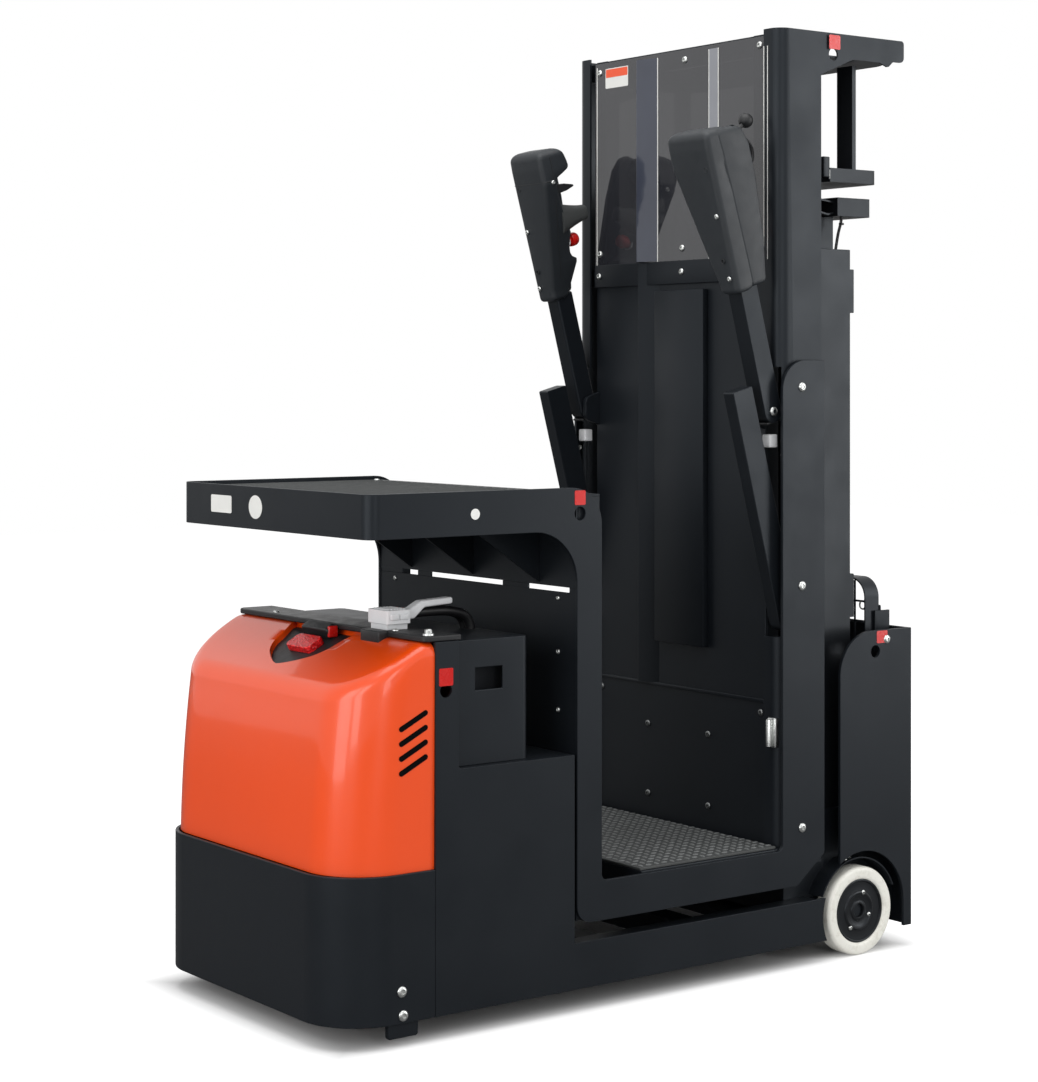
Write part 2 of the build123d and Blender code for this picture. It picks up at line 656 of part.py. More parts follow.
def mast_inner():
    """Inner rails with rollers, sheaves, top plate, hanger bars and foot ties."""
    near = rail(INNER_OUT, INNER_W, INNER_Z0, INNER_TOP)
    near += rollers(INNER_OUT, MIDDLE_W, INNER_Z0, ROLLER_RISE)
    cheek_t = 6.0
    for y0 in (-CHAIN_Y - SHEAVE_W / 2 - cheek_t - 1, -CHAIN_Y + SHEAVE_W / 2 + 1):
        near += block(SHEAVE_X - 15, SHEAVE_X + 25, y0, y0 + cheek_t, SHEAVE_Z - 14, INNER_TOP)
    near += across(SHEAVE_X, SHEAVE_Z, 8, -CHAIN_Y - 18, -CHAIN_Y + 18)
    near += across(SHEAVE_X, SHEAVE_Z, SHEAVE_R, -CHAIN_Y - SHEAVE_W / 2, -CHAIN_Y + SHEAVE_W / 2)
    plate_top = INNER_TOP + INNER_BAR
    hanger_in = HANGER_OUT - HANGER_W
    near += block(HANGER_X, HANGER_X + HANGER_T, -HANGER_OUT, -hanger_in, plate_top, ROOF_Z - 5)
    mast = near + other_side(near)
    x0 = MAST_X - 5
    x1 = MAST_X + 146
    rows = [(x0, -HANGER_OUT, 0), (x1, -HANGER_OUT, 16), (x1, HANGER_OUT, 16), (x0, HANGER_OUT, 0)]
    mast += plan_form(rows, INNER_TOP, plate_top)
    span = INNER_OUT - RAIL_DEPTH
    tie_t = 12.0
    tie_top = INNER_Z0 + TIE_H
    mast += block(CYL_FRONT - tie_t, CYL_FRONT, -span, span, INNER_Z0, tie_top)
    return mast + block(CYL_BACK, CYL_BACK + tie_t, -span, span, INNER_Z0, tie_top)


def lift_cylinder():
    tube = upright_bar(MAST_X, 0, CYL_R, OUTER_Z0, CYL_TOP)
    return tube - upright_bar(MAST_X, 0, ROD_R + 1, OUTER_Z0 + 10, CYL_TOP + 1)


def lift_rod():
    return upright_bar(MAST_X, 0, ROD_R, OUTER_Z0 + 30, MIDDLE_TOP)


def lift_chains():
    """Chain over each sheave, front run to the carriage, back run to the middle stage."""
    inner_r = SHEAVE_R + FIT
    outer_r = inner_r + CHAIN_T
    y0 = -CHAIN_Y - CHAIN_W / 2
    y1 = -CHAIN_Y + CHAIN_W / 2
    bend = across(SHEAVE_X, SHEAVE_Z, outer_r, y0, y1)
    bend -= across(SHEAVE_X, SHEAVE_Z, inner_r, y0 - 1, y1 + 1)
    bend -= block(SHEAVE_X - 2 * outer_r, SHEAVE_X + 2 * outer_r, y0 - 1, y1 + 1, 0, SHEAVE_Z)
    front = block(SHEAVE_X - outer_r, SHEAVE_X - inner_r, y0, y1, CHAIN_FOOT, SHEAVE_Z)
    back_foot = MIDDLE_Z0 + TIE_H + FIT
    back = block(SHEAVE_X + inner_r, SHEAVE_X + outer_r, y0, y1, back_foot, SHEAVE_Z)
    return pair(bend + front + back)


def hoop_face(out, foot, radius):
    """Upside down U in Y and Z, filled down to its feet."""
    top = HOOP_TOP - (HOOP_OUT - out)
    return outline([(-out, foot, 0), (-out, top, radius), (out, top, radius), (out, foot, 0)])


def tail_guard():
    """Flat strip bent into a hoop across the truck, on feet bolted to the cross plate."""
    ring = hoop_face(HOOP_OUT, HOOP_FOOT, HOOP_R)
    ring -= hoop_face(HOOP_OUT - HOOP_T, HOOP_FOOT - 1, HOOP_R - HOOP_T)
    guard = Pos(HOOP_X, 0, 0) * extrude(Plane.YZ * ring, amount=HOOP_W, dir=(1, 0, 0))
    x1 = HOOP_X + HOOP_W
    for side in (-1, 1):
        y = side * (HOOP_OUT + HOOP_T)
        guard += block(x1 - HOOP_T, TAIL - TAIL_T, y - 20, y + 20, HOOP_FOOT, HOOP_FOOT + FOOT_TAB)
        guard += block(HOOP_X + 25, TAIL - 18, y - 3, y + 3, HOOP_FOOT, TAIL_TOP + 38)
    return guard


def guard_grid():
    """Welded wire grid at the front edge of the tail guard."""
    x = HOOP_X + WIRE_R
    reach = HOOP_OUT - HOOP_T
    grid = across(x, WIRE_ROWS[0], WIRE_R, -reach, reach)
    grid += across(x, WIRE_ROWS[1], WIRE_R, -reach, reach)
    count = int(reach / WIRE_PITCH)
    bend = HOOP_R - HOOP_T - FIT
    for step in range(-count, count + 1):
        into_bend = max(0.0, abs(step) * WIRE_PITCH + WIRE_R - HOOP_OUT + HOOP_R)
        top = HOOP_TOP - HOOP_R + math.sqrt(bend ** 2 - into_bend ** 2)
        grid += upright_bar(x, step * WIRE_PITCH, WIRE_R, TAIL_TOP - 40, top)
    return grid


# Drive unit

def drive_housing():
    """Steered fork with gearbox, turntable neck and motor."""
    side = DRIVE_W / 2 + CHEEK_GAP
    out = side + CHEEK_T
    axle_z = DRIVE_D / 2
    cheek = block(DRIVE_X - 36, DRIVE_X + 36, -out, -side, axle_z - 34, CROWN_Z)
    fork = cheek + other_side(cheek)
    fork += block(DRIVE_X - 45, DRIVE_X + 45, -out, out, CROWN_Z, CROWN_Z + CROWN_T)
    fork += across(DRIVE_X, axle_z, DRIVE_AXLE_R, -side, side)
    fork += upright_bar(DRIVE_X, 0, NECK_R, CROWN_Z + CROWN_T, NECK_TOP)
    fork += upright_bar(DRIVE_X, 0, TURNTABLE_R, NECK_TOP - TURNTABLE_T, NECK_TOP)
    return fork + upright_bar(DRIVE_X, 0, MOTOR_R, NECK_TOP, NECK_TOP + MOTOR_H)


def drive_tyre():
    half = DRIVE_W / 2
    tyre = across(DRIVE_X, DRIVE_D / 2, DRIVE_D / 2, -half, half)
    tyre = fillet(tyre.edges(), 5)
    return tyre - across(DRIVE_X, DRIVE_D / 2, DRIVE_RIM_R, -half - 1, half + 1)


def drive_hub():
    half = DRIVE_W / 2
    hub = across(DRIVE_X, DRIVE_D / 2, DRIVE_RIM_R, -half, half)
    return hub - across(DRIVE_X, DRIVE_D / 2, DRIVE_AXLE_R + FIT, -half - 1, half + 1)


# Mast wheels

def load_tyre():
    tyre = across(WHEEL_X, WHEEL_Z, WHEEL_D / 2, -WHEEL_OUT, -WHEEL_IN)
    tyre = fillet(tyre.edges(), 9)
    return tyre - across(WHEEL_X, WHEEL_Z, RIM_R, -HALF, 0)


def load_hub():
    """Disc with a blind bore for the stub axle and a hollow towards the truck."""
    hub = across(WHEEL_X, WHEEL_Z, RIM_R, -WHEEL_OUT + 3, -WHEEL_IN)
    hub -= across(WHEEL_X, WHEEL_Z, STUB_R + FIT, -WHEEL_OUT + 11, -WHEEL_IN + 1)
    return hub - across(WHEEL_X, WHEEL_Z, RIM_R - 20, -WHEEL_IN - 10, -WHEEL_IN + 1)


# Carriage

def carriage_sides():
    """Cut plate of one side: post, sill and mast upright."""
    rows = [
        (POST_X0, POST_HEAD, 0),
        (POST_X0, SILL_Z, 36),
        (UP_X0 + 44, SILL_Z, 0),
        (UP_X1, SILL_Z + 65, 0),
        (UP_X1, UP_TOP, 0),
        (UP_X0, UP_TOP, 68),
        (UP_X0, SILL_TOP, 14),
        (POST_X1, SILL_TOP, 14),
        (POST_X1, POST_HEAD, 0),
    ]
    return pair(side_form(rows, -HALF, -INNER))


def tray_sides():
    """Upper part of the same plate: head of the post and rail of the tray."""
    rows = [
        (TRAY_JOINT, TRAY_LOW, 0),
        (POST_X0, TRAY_LOW, POST_BEND),
        (POST_X0, POST_HEAD, 0),
        (POST_X1, POST_HEAD, 0),
        (POST_X1, TRAY_TOP, 78),
        (TRAY_JOINT, TRAY_TOP, 0),
    ]
    return pair(side_form(rows, -HALF, -INNER) - lift_hole(POST_HOLE))


def tray_plan(inset, back):
    """Plan of the front wall of the tray, set in from its outer face."""
    side = HALF - inset
    radius = TRAY_R - inset
    x0 = TRAY_X0 + inset
    return [(back, -side, 0), (x0, -side, radius), (x0, side, radius), (back, side, 0)]


def tray_rim():
    """Front wall of the tray with its two rounded corners."""
    outer = plan_form(tray_plan(0, TRAY_JOINT), TRAY_LOW, TRAY_TOP)
    return outer - plan_form(tray_plan(TRAY_T, TRAY_JOINT + 1), TRAY_LOW - 1, TRAY_TOP + 1)


def tray_pan():
    """Pan under the mat, with ribs down to the cross panel."""
    low = PAN_TOP - SHEET
    pan = block(TRAY_JOINT, POST_X1, -INNER, INNER, low, PAN_TOP)
    side = INNER - TRAY_R
    pan += block(TRAY_X0 + TRAY_T, TRAY_JOINT, -side, side, low, PAN_TOP)
    root = PANEL_X - PANEL_T / 2
    rows = [(root, low - 184, 0), (root, low, 0), (RIB_X, low, 0), (RIB_X, low - 34, 0)]
    for y in (-RIB_Y, 0, RIB_Y):
        pan += side_form(rows, y - PANEL_T / 2, y + PANEL_T / 2)
    return pan


def tray_mat():
    side = INNER - 3
    rows = [(TRAY_JOINT, -side, 12), (POST_X0, -side, 0), (POST_X0, side, 0), (TRAY_JOINT, side, 12)]
    return plan_form(rows, PAN_TOP, PAN_TOP + MAT_T)


def cross_panel():
    """Panel between the posts; its sheet is drawn in bands above, beside and below the three slots."""
    z1 = PAN_TOP - SHEET
    x0 = PANEL_X - PANEL_T / 2
    x1 = PANEL_X + PANEL_T / 2
    lip = INNER - PANEL_LIP
    slot_top = SLOT_Z + SLOT_H
    bands = [
        block(x0, x1, -INNER, INNER, FLOOR_LOW, SLOT_Z),
        block(x0, x1, -INNER, INNER, slot_top, z1),
        block(x1, POST_X1, -lip, lip, FLOOR_LOW, FLOOR_LOW + SHEET),
        block(x1, POST_X1, -INNER, -lip, FLOOR_LOW, z1),
        block(x1, POST_X1, lip, INNER, FLOOR_LOW, z1),
    ]
    edges = [-INNER] + [y for span in SLOT_SPANS for y in span] + [INNER]
    for start, end in zip(edges[::2], edges[1::2]):
        bands.append(block(x0, x1, start, end, SLOT_Z, slot_top))
    return Compound(children=bands)


def floor_box():
    """Platform floor: top plate on a folded pan, with a toe board in front."""
    top = FLOOR_Z - MAT_T
    box = block(FLOOR_X0, UP_X0, -INNER, INNER, FLOOR_LOW, top)
    box += block(UP_X0, BACK_X, -BACK_Y, BACK_Y, FLOOR_LOW, top)
    x0 = FLOOR_X0 + SHEET
    x1 = UP_X0 - SHEET
    side = INNER - SHEET
    box -= block(x0, x1, -side, side, FLOOR_LOW + SHEET, top - SHEET)
    return box + block(POST_X1, FLOOR_X0, -INNER, INNER, FLOOR_LOW, FLOOR_LOW + SHEET)


def floor_mat():
    side = INNER - 4
    return block(FLOOR_X0, FLOOR_X1, -side, side, FLOOR_Z - MAT_T, FLOOR_Z)


def back_panel():
    """Lower back wall with its raised field."""
    panel = block(BACK_X, BACK_X + SHEET, -BACK_Y, BACK_Y, FLOOR_LOW, BACK_TOP)
    y1 = RAISED_Y0 + RAISED_W
    raised = block(BACK_X - RAISED_T, BACK_X, RAISED_Y0, y1, RAISED_Z[0], RAISED_Z[1])
    return panel + chamfer(raised.faces().sort_by(Axis.X)[0].edges(), RAISED_T - 1)


def window():
    return block(BACK_X - SHEET, BACK_X, -BACK_Y, BACK_Y, BACK_TOP - WINDOW_LAP, WINDOW_TOP)


def carriage_backframe():
    """Posts and beams behind the back panel, with the plates that hold the mast rollers."""
    x0 = BACK_X + SHEET
    x1 = x0 + POST_D
    top = WINDOW_TOP + 5
    near = block(x0, x1, -BACK_Y, -BACK_Y + POST_W, FLOOR_Z, top)
    near += block(BACK_X, x0, -BACK_Y, -BACK_Y + POST_W, BACK_TOP, top)
    near += block(x1, MAST_X + 36, -CARRY_OUT, -CARRY_OUT + CARRY_T, CARRY_Z0, CARRY_TOP)
    near += rollers(CARRY_OUT, INNER_W, CARRY_Z0, CARRY_RISE)
    frame = near + other_side(near)
    bend = UP_X0 + FRAME_R + 1
    for z in BACK_BEAMS:
        frame += block(x0, x1, -BACK_Y, BACK_Y, z, z + POST_W)
        frame += block(bend, x1, -FRAME_IN, FRAME_IN, z, z + POST_W)
    return frame


def frame_angle(x0, out, radius, z0, z1):
    """Rounded angle in plan, filled, from its bend to the rear and to the lip."""
    x1 = FRAME_X1 + x0 - UP_X0
    lip = FRAME_LIP + UP_X0 - x0
    return plan_form([(x0, -lip, 0), (x0, -out, radius), (x1, -out, 0), (x1, -lip, 0)], z0, z1)


def upright_frames():
    """Bent sheet frame of one side, with the arm that reaches back over the mast."""
    x1 = FRAME_X1
    foot = SILL_TOP - 40
    frame = frame_angle(UP_X0, FRAME_OUT, FRAME_R, foot, FRAME_TOP)
    frame -= frame_angle(UP_X0 + SHEET, FRAME_IN, FRAME_R - SHEET, foot - 1, FRAME_TOP + 1)
    frame -= block(UP_X0 - 1, UP_X0 + FRAME_R, -FRAME_IN + 1, 0, NOTCH_Z[0], NOTCH_Z[1])
    arm_rows = [
        (x1, FRAME_TOP, 0),
        (ARM_END, FRAME_TOP, 8),
        (ARM_END, ROOF_Z + 5, 12),
        (ARM_END - 35, ROOF_Z + 5, 8),
        (ARM_END - 51, ROOF_Z - 9, 8),
        (ARM_END - 78, ROOF_Z, 8),
        (ARM_END - 163, ROOF_Z, 20),
        (x1, ROOF_Z - 41, 0),
    ]
    frame += side_form(arm_rows, -FRAME_OUT, -FRAME_IN)
    frame -= across(*ROOF_HOLE, LIFT_HOLE_R, -HALF, 0)
    for z in FRAME_BOLTS:
        frame += across(UP_X0 + 57, z, 14, -INNER, -FRAME_OUT)
    frame += across(BAR_X, BAR_Z, PIN_R, -FRAME_IN, -BAR_IN + 8)
    frame += across(BAR_X, BAR_Z, PIN_R + 6, -BAR_IN + 4, -BAR_IN + 8)
    return pair(frame)


def roof_plate():
    x0 = BACK_X + SHEET + POST_D
    x1 = ARM_END - 28
    rows = [(x0, -FRAME_IN, 0), (x1, -FRAME_IN, 60), (x1, FRAME_IN, 60), (x0, FRAME_IN, 0)]
    return plan_form(rows, ROOF_Z, ROOF_Z + SHEET)


def guard_brackets():
    """Plate and pin that carry one side guard."""
    x0 = ARM_X - 22
    rows = [(x0, ARM_Z - 26, 18), (BACK_X, ARM_Z - 40, 0), (BACK_X, ARM_Z + 40, 0), (x0, ARM_Z + 26, 18)]
    face = -ARM_IN + 5
    bracket = side_form(rows, face, face + 12)
    return pair(bracket + across(ARM_X, ARM_Z, PIN_R, -ARM_OUT - 3, face))


# Side guards

def lean(shape, x, z):
    """Turns a piece drawn upright from its pivot to its rest angle."""
    return Pos(x, 0, z) * Rot(0, -LEAN, 0) * shape


def guard_arm():
    """Square tube from the pivot up into the pod, drawn upright at the origin."""
    half = ARM_W / 2
    rows = [(-half, -half, half - 1), (half, -half, half - 1), (half, ARM_LEN, 0), (-half, ARM_LEN, 0)]
    arm = side_form(rows, -ARM_OUT, -ARM_IN)
    arm -= across(0, 0, PIN_R + FIT, -HALF, 0)
    return lean(arm, ARM_X, ARM_Z)


def guard_pod():
    """Moulded control pod around the head of the arm."""
    rows = [
        (-42, POD_S0, 10),
        (-45, POD_S1 - 12, 14),
        (55, POD_S1, 18),
        (78, POD_S1 - 44, 14),
        (78, POD_S1 - 120, 40),
        (48, POD_S0 + 12, 12),
    ]
    pod = side_form(rows, -POD_OUT, -POD_IN) - foot_taper()
    pod -= across(BUTTON_T, BUTTON_S, BUTTON_R + 3, -BUTTON_SEAT, 0)
    half = ARM_W / 2 + SEAT_GAP * 2
    seat = block(-half, half, -ARM_OUT - SEAT_GAP, -ARM_IN + SEAT_GAP, 0, ARM_LEN)
    return lean(pod - seat, ARM_X, ARM_Z)


def foot_taper():
    """Wedge that slims the pod towards its foot, on its inner side."""
    y0 = -POD_FOOT_IN
    y1 = -POD_IN + 1
    rows = [(y1, POD_S0 - 1, 0), (y1, POD_S0 + 190, 0), (y0, POD_S0 + 40, 0), (y0, POD_S0 - 1, 0)]
    face = Plane.YZ * outline(rows)
    reach = 200.0
    return Pos(-reach, 0, 0) * extrude(face, amount=2 * reach, dir=(1, 0, 0))


def guard_grip():
    """Tiller grip and thumb lever of one pod."""
    rows = [(10, POD_S0 + 150, 8), (66, POD_S0 + 168, 8), (60, POD_S0 + 206, 8), (6, POD_S0 + 190, 8)]
    grip = side_form(rows, -GRIP_Y, -GRIP_Y + GRIP_W)
    grip += across(30, POD_S0 + 178, 9, -POD_IN, -GRIP_Y)
    root = -POD_IN + 16
    lever = across(30, POD_S0 + 262, 7, -POD_IN, root)
    lever += block(10, 62, root, root + 10, POD_S0 + 252, POD_S0 + 270)
    return lean(Compound(children=[grip, lever]), ARM_X, ARM_Z)


def stop_button():
    button = across(BUTTON_T, BUTTON_S, BUTTON_R, -BUTTON_SEAT, -BUTTON_SEAT + BUTTON_L)
    return lean(button, ARM_X, ARM_Z)


def guard_bar():
    """Lower guard bar, a flat channel drawn upright from its pivot."""
    half = BAR_W / 2
    rows = [(-half, -half, half - 2), (half, -half, half - 2), (half, BAR_LEN, 4), (-half, BAR_LEN, 4)]
    bar = side_form(rows, -BAR_OUT, -BAR_IN)
    bar -= across(0, 0, PIN_R + FIT, -HALF, 0)
    return lean(bar, BAR_X, BAR_Z)


ONE_OF_EACH = {
    "side_plates": side_plates,
    "beam_plates": beam_plates,
    "chassis_frame": chassis_frame,
    "axle_carriers": axle_carriers,
    "tail_plates": tail_plates,
    "tail_cross_plate": tail_cross_plate,
    "bumper": bumper,
    "hood": hood,
    "deck_plate": deck_plate,
    "battery_box": battery_box,
    "battery_block": battery_block,
    "battery_plug": battery_plug,
    "plug_lever": plug_lever,
    "battery_cables": battery_cables,
    "lamp_lens": lamp_lens,
    "lamp_visor": lamp_visor,
    "skid_feet": skid_feet,
    "drive_mount": drive_mount,
    "mast_outer": mast_outer,
    "lift_cylinder": lift_cylinder,
    "tail_guard": tail_guard,
    "guard_grid": guard_grid,
    "drive_housing": drive_housing,
    "drive_tyre": drive_tyre,
    "drive_hub": drive_hub,
    "mast_middle": mast_middle,
    "lift_rod": lift_rod,
    "mast_inner": mast_inner,
    "lift_chains": lift_chains,
    "carriage_sides": carriage_sides,
    "tray_sides": tray_sides,
    "tray_rim": tray_rim,
    "tray_pan": tray_pan,
    "tray_mat": tray_mat,
    "cross_panel": cross_panel,
    "floor_box": floor_box,
    "floor_mat": floor_mat,
    "back_panel": back_panel,
    "window": window,
    "carriage_backframe": carriage_backframe,
    "upright_frames": upright_frames,
    "roof_plate": roof_plate,
    "guard_brackets": guard_brackets,
}

NEAR_AND_FAR = {
    "load_tyre": load_tyre,
    "load_hub": load_hub,
    "guard_arm": guard_arm,
    "guard_pod": guard_pod,
    "guard_grip": guard_grip,
    "stop_button": stop_button,
    "guard_bar": guard_bar,
}


def main():
    os.makedirs("parts", exist_ok=True)
    for name, make in ONE_OF_EACH.items():
        save(name, make())
    for name, make in NEAR_AND_FAR.items():
        piece = make()
        save(name + "_near", piece)
        save(name + "_far", other_side(piece))


main()
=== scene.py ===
# %% [markdown]
# # An order picker truck, dressed piece by piece
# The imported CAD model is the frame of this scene: it gives every solid at its real size and every moving
# body. This notebook never moves or resizes it. It gives the solids their finishes and rounded edges, and
# adds what a solid model leaves out: bolts, chain links, hoses, labels, studs in the mat and moulded covers.
# All lengths are metres. +X runs from the nose to the mast, +Z is up and the near side is -Y.

# %% Load the frame
import json
import math

import bmesh
import bpy
import numpy as np
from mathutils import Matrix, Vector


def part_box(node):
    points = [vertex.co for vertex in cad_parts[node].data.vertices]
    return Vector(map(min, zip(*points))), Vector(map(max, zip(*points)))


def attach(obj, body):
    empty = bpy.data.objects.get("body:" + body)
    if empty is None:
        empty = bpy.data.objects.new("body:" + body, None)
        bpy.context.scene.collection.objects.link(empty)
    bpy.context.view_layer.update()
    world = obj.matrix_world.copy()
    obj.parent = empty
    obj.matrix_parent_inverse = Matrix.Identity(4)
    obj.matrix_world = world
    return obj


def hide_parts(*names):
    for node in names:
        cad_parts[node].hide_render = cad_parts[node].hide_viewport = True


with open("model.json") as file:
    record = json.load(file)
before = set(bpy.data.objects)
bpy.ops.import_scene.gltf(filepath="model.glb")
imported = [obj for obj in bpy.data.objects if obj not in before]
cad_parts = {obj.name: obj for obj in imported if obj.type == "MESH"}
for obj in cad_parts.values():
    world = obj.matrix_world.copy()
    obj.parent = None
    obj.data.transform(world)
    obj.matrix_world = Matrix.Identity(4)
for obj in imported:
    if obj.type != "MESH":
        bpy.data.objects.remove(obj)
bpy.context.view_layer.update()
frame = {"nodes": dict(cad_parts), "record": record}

# %% [markdown]
# ## Sizes shared by several cells
# A piece sits on the solid that carries it, so places come from the boxes of the CAD nodes wherever they
# can.

# %% Places taken from the frame
def low(node):
    """Lowest corner of a CAD node's box."""
    return np.array(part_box(node)[0])


def high(node):
    """Highest corner of a CAD node's box."""
    return np.array(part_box(node)[1])


HALF_WIDTH = high("side_plates")[1]
SIDES = {"near": -1, "far": 1}
TRAY_FRONT = low("tray_rim")[0]
WHEEL_X, WHEEL_Z = 0.618, 0.100
print("half width", HALF_WIDTH, "tray front at", TRAY_FRONT)

# %% [markdown]
# ## Shader maths as Python
# A material is a graph of nodes. Written as calls it is hard to read, so one small class wraps a socket and
# lets `+`, `-` and `*` add Math nodes, and one method adds every other kind of node.

# %% A socket that does arithmetic
class Socket:
    """An output of a shader node; arithmetic on it adds Math nodes."""

    def __init__(self, graph, output):
        self.graph = graph
        self.output = output

    def math(self, operation, *values):
        """Adds a Math node whose first input is this socket."""
        return self.graph.node("ShaderNodeMath", {"operation": operation}, dict(enumerate([self, *values])))

    def __add__(self, other):
        return self.math("ADD", other)

    def __mul__(self, other):
        return self.math("MULTIPLY", other)

    def __sub__(self, other):
        return self.math("SUBTRACT", other)


class Graph:
    """A node tree that is built call by call."""

    def __init__(self, tree):
        self.tree = tree
        self.tree.nodes.clear()

    def node(self, kind, settings=None, sockets=None, output=0):
        """Adds a node: its settings first, then a value or a link for each socket."""
        made = self.tree.nodes.new(kind)
        for name, value in (settings or {}).items():
            setattr(made, name, value)
        for name, value in (sockets or {}).items():
            if isinstance(value, Socket):
                self.tree.links.new(value.output, made.inputs[name])
            else:
                made.inputs[name].default_value = value
        return Socket(self, made.outputs[output]) if made.outputs else None


class Shader(Graph):
    """The graph of one material, ending in a Principled shader."""

    def __init__(self, name, **constants):
        self.material = bpy.data.materials.new(name)
        self.material.use_nodes = True
        super().__init__(self.material.node_tree)
        end = self.tree.nodes.new("ShaderNodeOutputMaterial")
        self.body = self.tree.nodes.new("ShaderNodeBsdfPrincipled")
        self.tree.links.new(self.body.outputs[0], end.inputs["Surface"])
        for socket, value in constants.items():
            self.body.inputs[socket.replace("_", " ")].default_value = value

    def place(self):
        """Object coordinates, which are metres in the truck's own frame."""
        return self.node("ShaderNodeTexCoord", output="Object")

    def noise(self, scale, detail=2.0, roughness=0.5):
        """Soft noise from 0 to 1, scale cells to the metre."""
        values = {"Vector": self.place(), "Scale": scale, "Detail": detail, "Roughness": roughness}
        return self.node("ShaderNodeTexNoise", None, values)

    def cells(self, scale):
        """Distance to the nearest of many scattered points."""
        return self.node("ShaderNodeTexVoronoi", None, {"Vector": self.place(), "Scale": scale})

    def ramp(self, value, start, stop, first=0.0, last=1.0):
        """Carries a value from one span to another and clamps it."""
        return self.node("ShaderNodeMapRange", None, {0: value, 1: start, 2: stop, 3: first, 4: last})

    def blend(self, factor, first, second):
        """A colour between two others."""
        sockets = {0: factor, 6: (*first, 1.0), 7: (*second, 1.0)}
        return self.node("ShaderNodeMix", {"data_type": "RGBA"}, sockets, output=2)

    def bump(self, height, distance, strength=1.0):
        """Turns a height into a tilt of the surface."""
        sockets = {"Height": height, "Distance": distance, "Strength": strength}
        self.link("Normal", self.node("ShaderNodeBump", None, sockets))

    def link(self, name, value):
        """Feeds one input of the Principled shader."""
        self.tree.links.new(value.output, self.body.inputs[name])


def srgb(red, green, blue):
    """Linear colour of a screen colour given from 0 to 255."""
    scaled = np.array([red, green, blue]) / 255.0
    curve = ((scaled + 0.055) / 1.055) ** 2.4
    return tuple(float(c) for c in np.where(scaled <= 0.04045, scaled / 12.92, curve))

# %% [markdown]
# ## Finishes
# A powder coat is not one flat colour: it has a fine orange peel that breaks up reflections, and its gloss
# drifts a little over a panel. Each finish below adds those two things at the scale of the real coating.

# %% Painted steel
def powder_coat(name, colour, roughness=0.42, peel=900.0, depth=0.00006):
    """Satin paint: noise of a millimetre tilts the surface, noise of a decimetre changes its gloss."""
    coat = Shader(name, Specular_IOR_Level=0.26, Specular_Tint=(0.84, 0.92, 1.0, 1.0))
    drift = coat.noise(3.0, detail=3.0)
    coat.link("Base Color", coat.blend(drift, [c * 0.85 for c in colour], [c * 1.18 for c in colour]))
    cloud = coat.noise(9.0, detail=4.0)
    coat.link("Roughness", coat.ramp(cloud, 0.25, 0.75, roughness - 0.05, roughness + 0.06))
    coat.bump(coat.noise(peel, detail=1.0), depth)
    return coat.material


black_paint = powder_coat("black_powder_coat", srgb(18, 21, 25))
mast_paint = powder_coat("mast_paint", srgb(20, 22, 25), roughness=0.38, peel=600.0, depth=0.00008)
dark_paint = powder_coat("casting_paint", srgb(34, 35, 38), roughness=0.6, peel=260.0, depth=0.0003)
print("painted finishes:", [m.name for m in (black_paint, mast_paint, dark_paint)])

# %% [markdown]
# The orange cover is a thick glossy lacquer over a moulding. The clear coat carries the sharp highlights and
# the faint long wave of the moulding shows in them.

# %% Orange lacquer
def lacquer(name, colour):
    """Gloss lacquer: a coat over colour that is a little deeper in places."""
    paint = Shader(name, Roughness=0.30, Coat_Weight=0.42, Coat_Roughness=0.06)
    shade = paint.noise(4.0, detail=2.0)
    paint.link("Base Color", paint.blend(shade, [c * 0.93 for c in colour], colour))
    wave = paint.noise(14.0, detail=1.0) + paint.noise(420.0, detail=1.0) * 0.04
    paint.bump(wave, 0.0012, 0.35)
    return paint.material


orange = lacquer("orange_lacquer", srgb(234, 74, 6))

# %% [markdown]
# Moulded plastics and rubbers have a spark-eroded grain from their mould: small rounded cells, matt overall.

# %% Moulded plastic and rubber
def grained(name, colour, roughness, grain, depth, specular=0.4):
    """Moulded grain: cells of the given scale, with slow drift in colour."""
    skin = Shader(name, Specular_IOR_Level=specular)
    drift = skin.noise(12.0, detail=3.0)
    skin.link("Base Color", skin.blend(drift, [c * 0.86 for c in colour], [c * 1.12 for c in colour]))
    skin.link("Roughness", skin.ramp(skin.noise(40.0), 0.3, 0.7, roughness - 0.05, roughness + 0.05))
    skin.bump(skin.cells(grain) + skin.noise(grain * 0.5, detail=2.0) * 0.6, depth)
    return skin.material


pod_plastic = grained("pod_plastic", srgb(34, 38, 42), 0.50, 1300.0, 0.00012)
black_plastic = grained("black_plastic", srgb(26, 27, 29), 0.45, 1100.0, 0.00010)
grey_plastic = grained("connector_plastic", srgb(220, 221, 223), 0.42, 900.0, 0.00008)
red_plastic = grained("red_plastic", srgb(196, 22, 18), 0.28, 700.0, 0.00004)
white_plastic = grained("white_plastic", srgb(226, 226, 222), 0.4, 900.0, 0.00006)
rubber = grained("mat_rubber", srgb(62, 64, 64), 0.62, 500.0, 0.00020)
cable_rubber = grained("cable_rubber", srgb(24, 24, 26), 0.40, 800.0, 0.00008)
# Near black and almost without gloss: painted shade for the vent slots of the cover.
vent_painted_shade = grained("vent_painted_shade", srgb(5, 5, 6), 0.85, 400.0, 0.00004, 0.06)
stud_rubber = grained("stud_rubber", srgb(112, 114, 114), 0.42, 600.0, 0.00010)
dark_tyre = grained("dark_tyre", srgb(36, 35, 34), 0.7, 420.0, 0.00020)


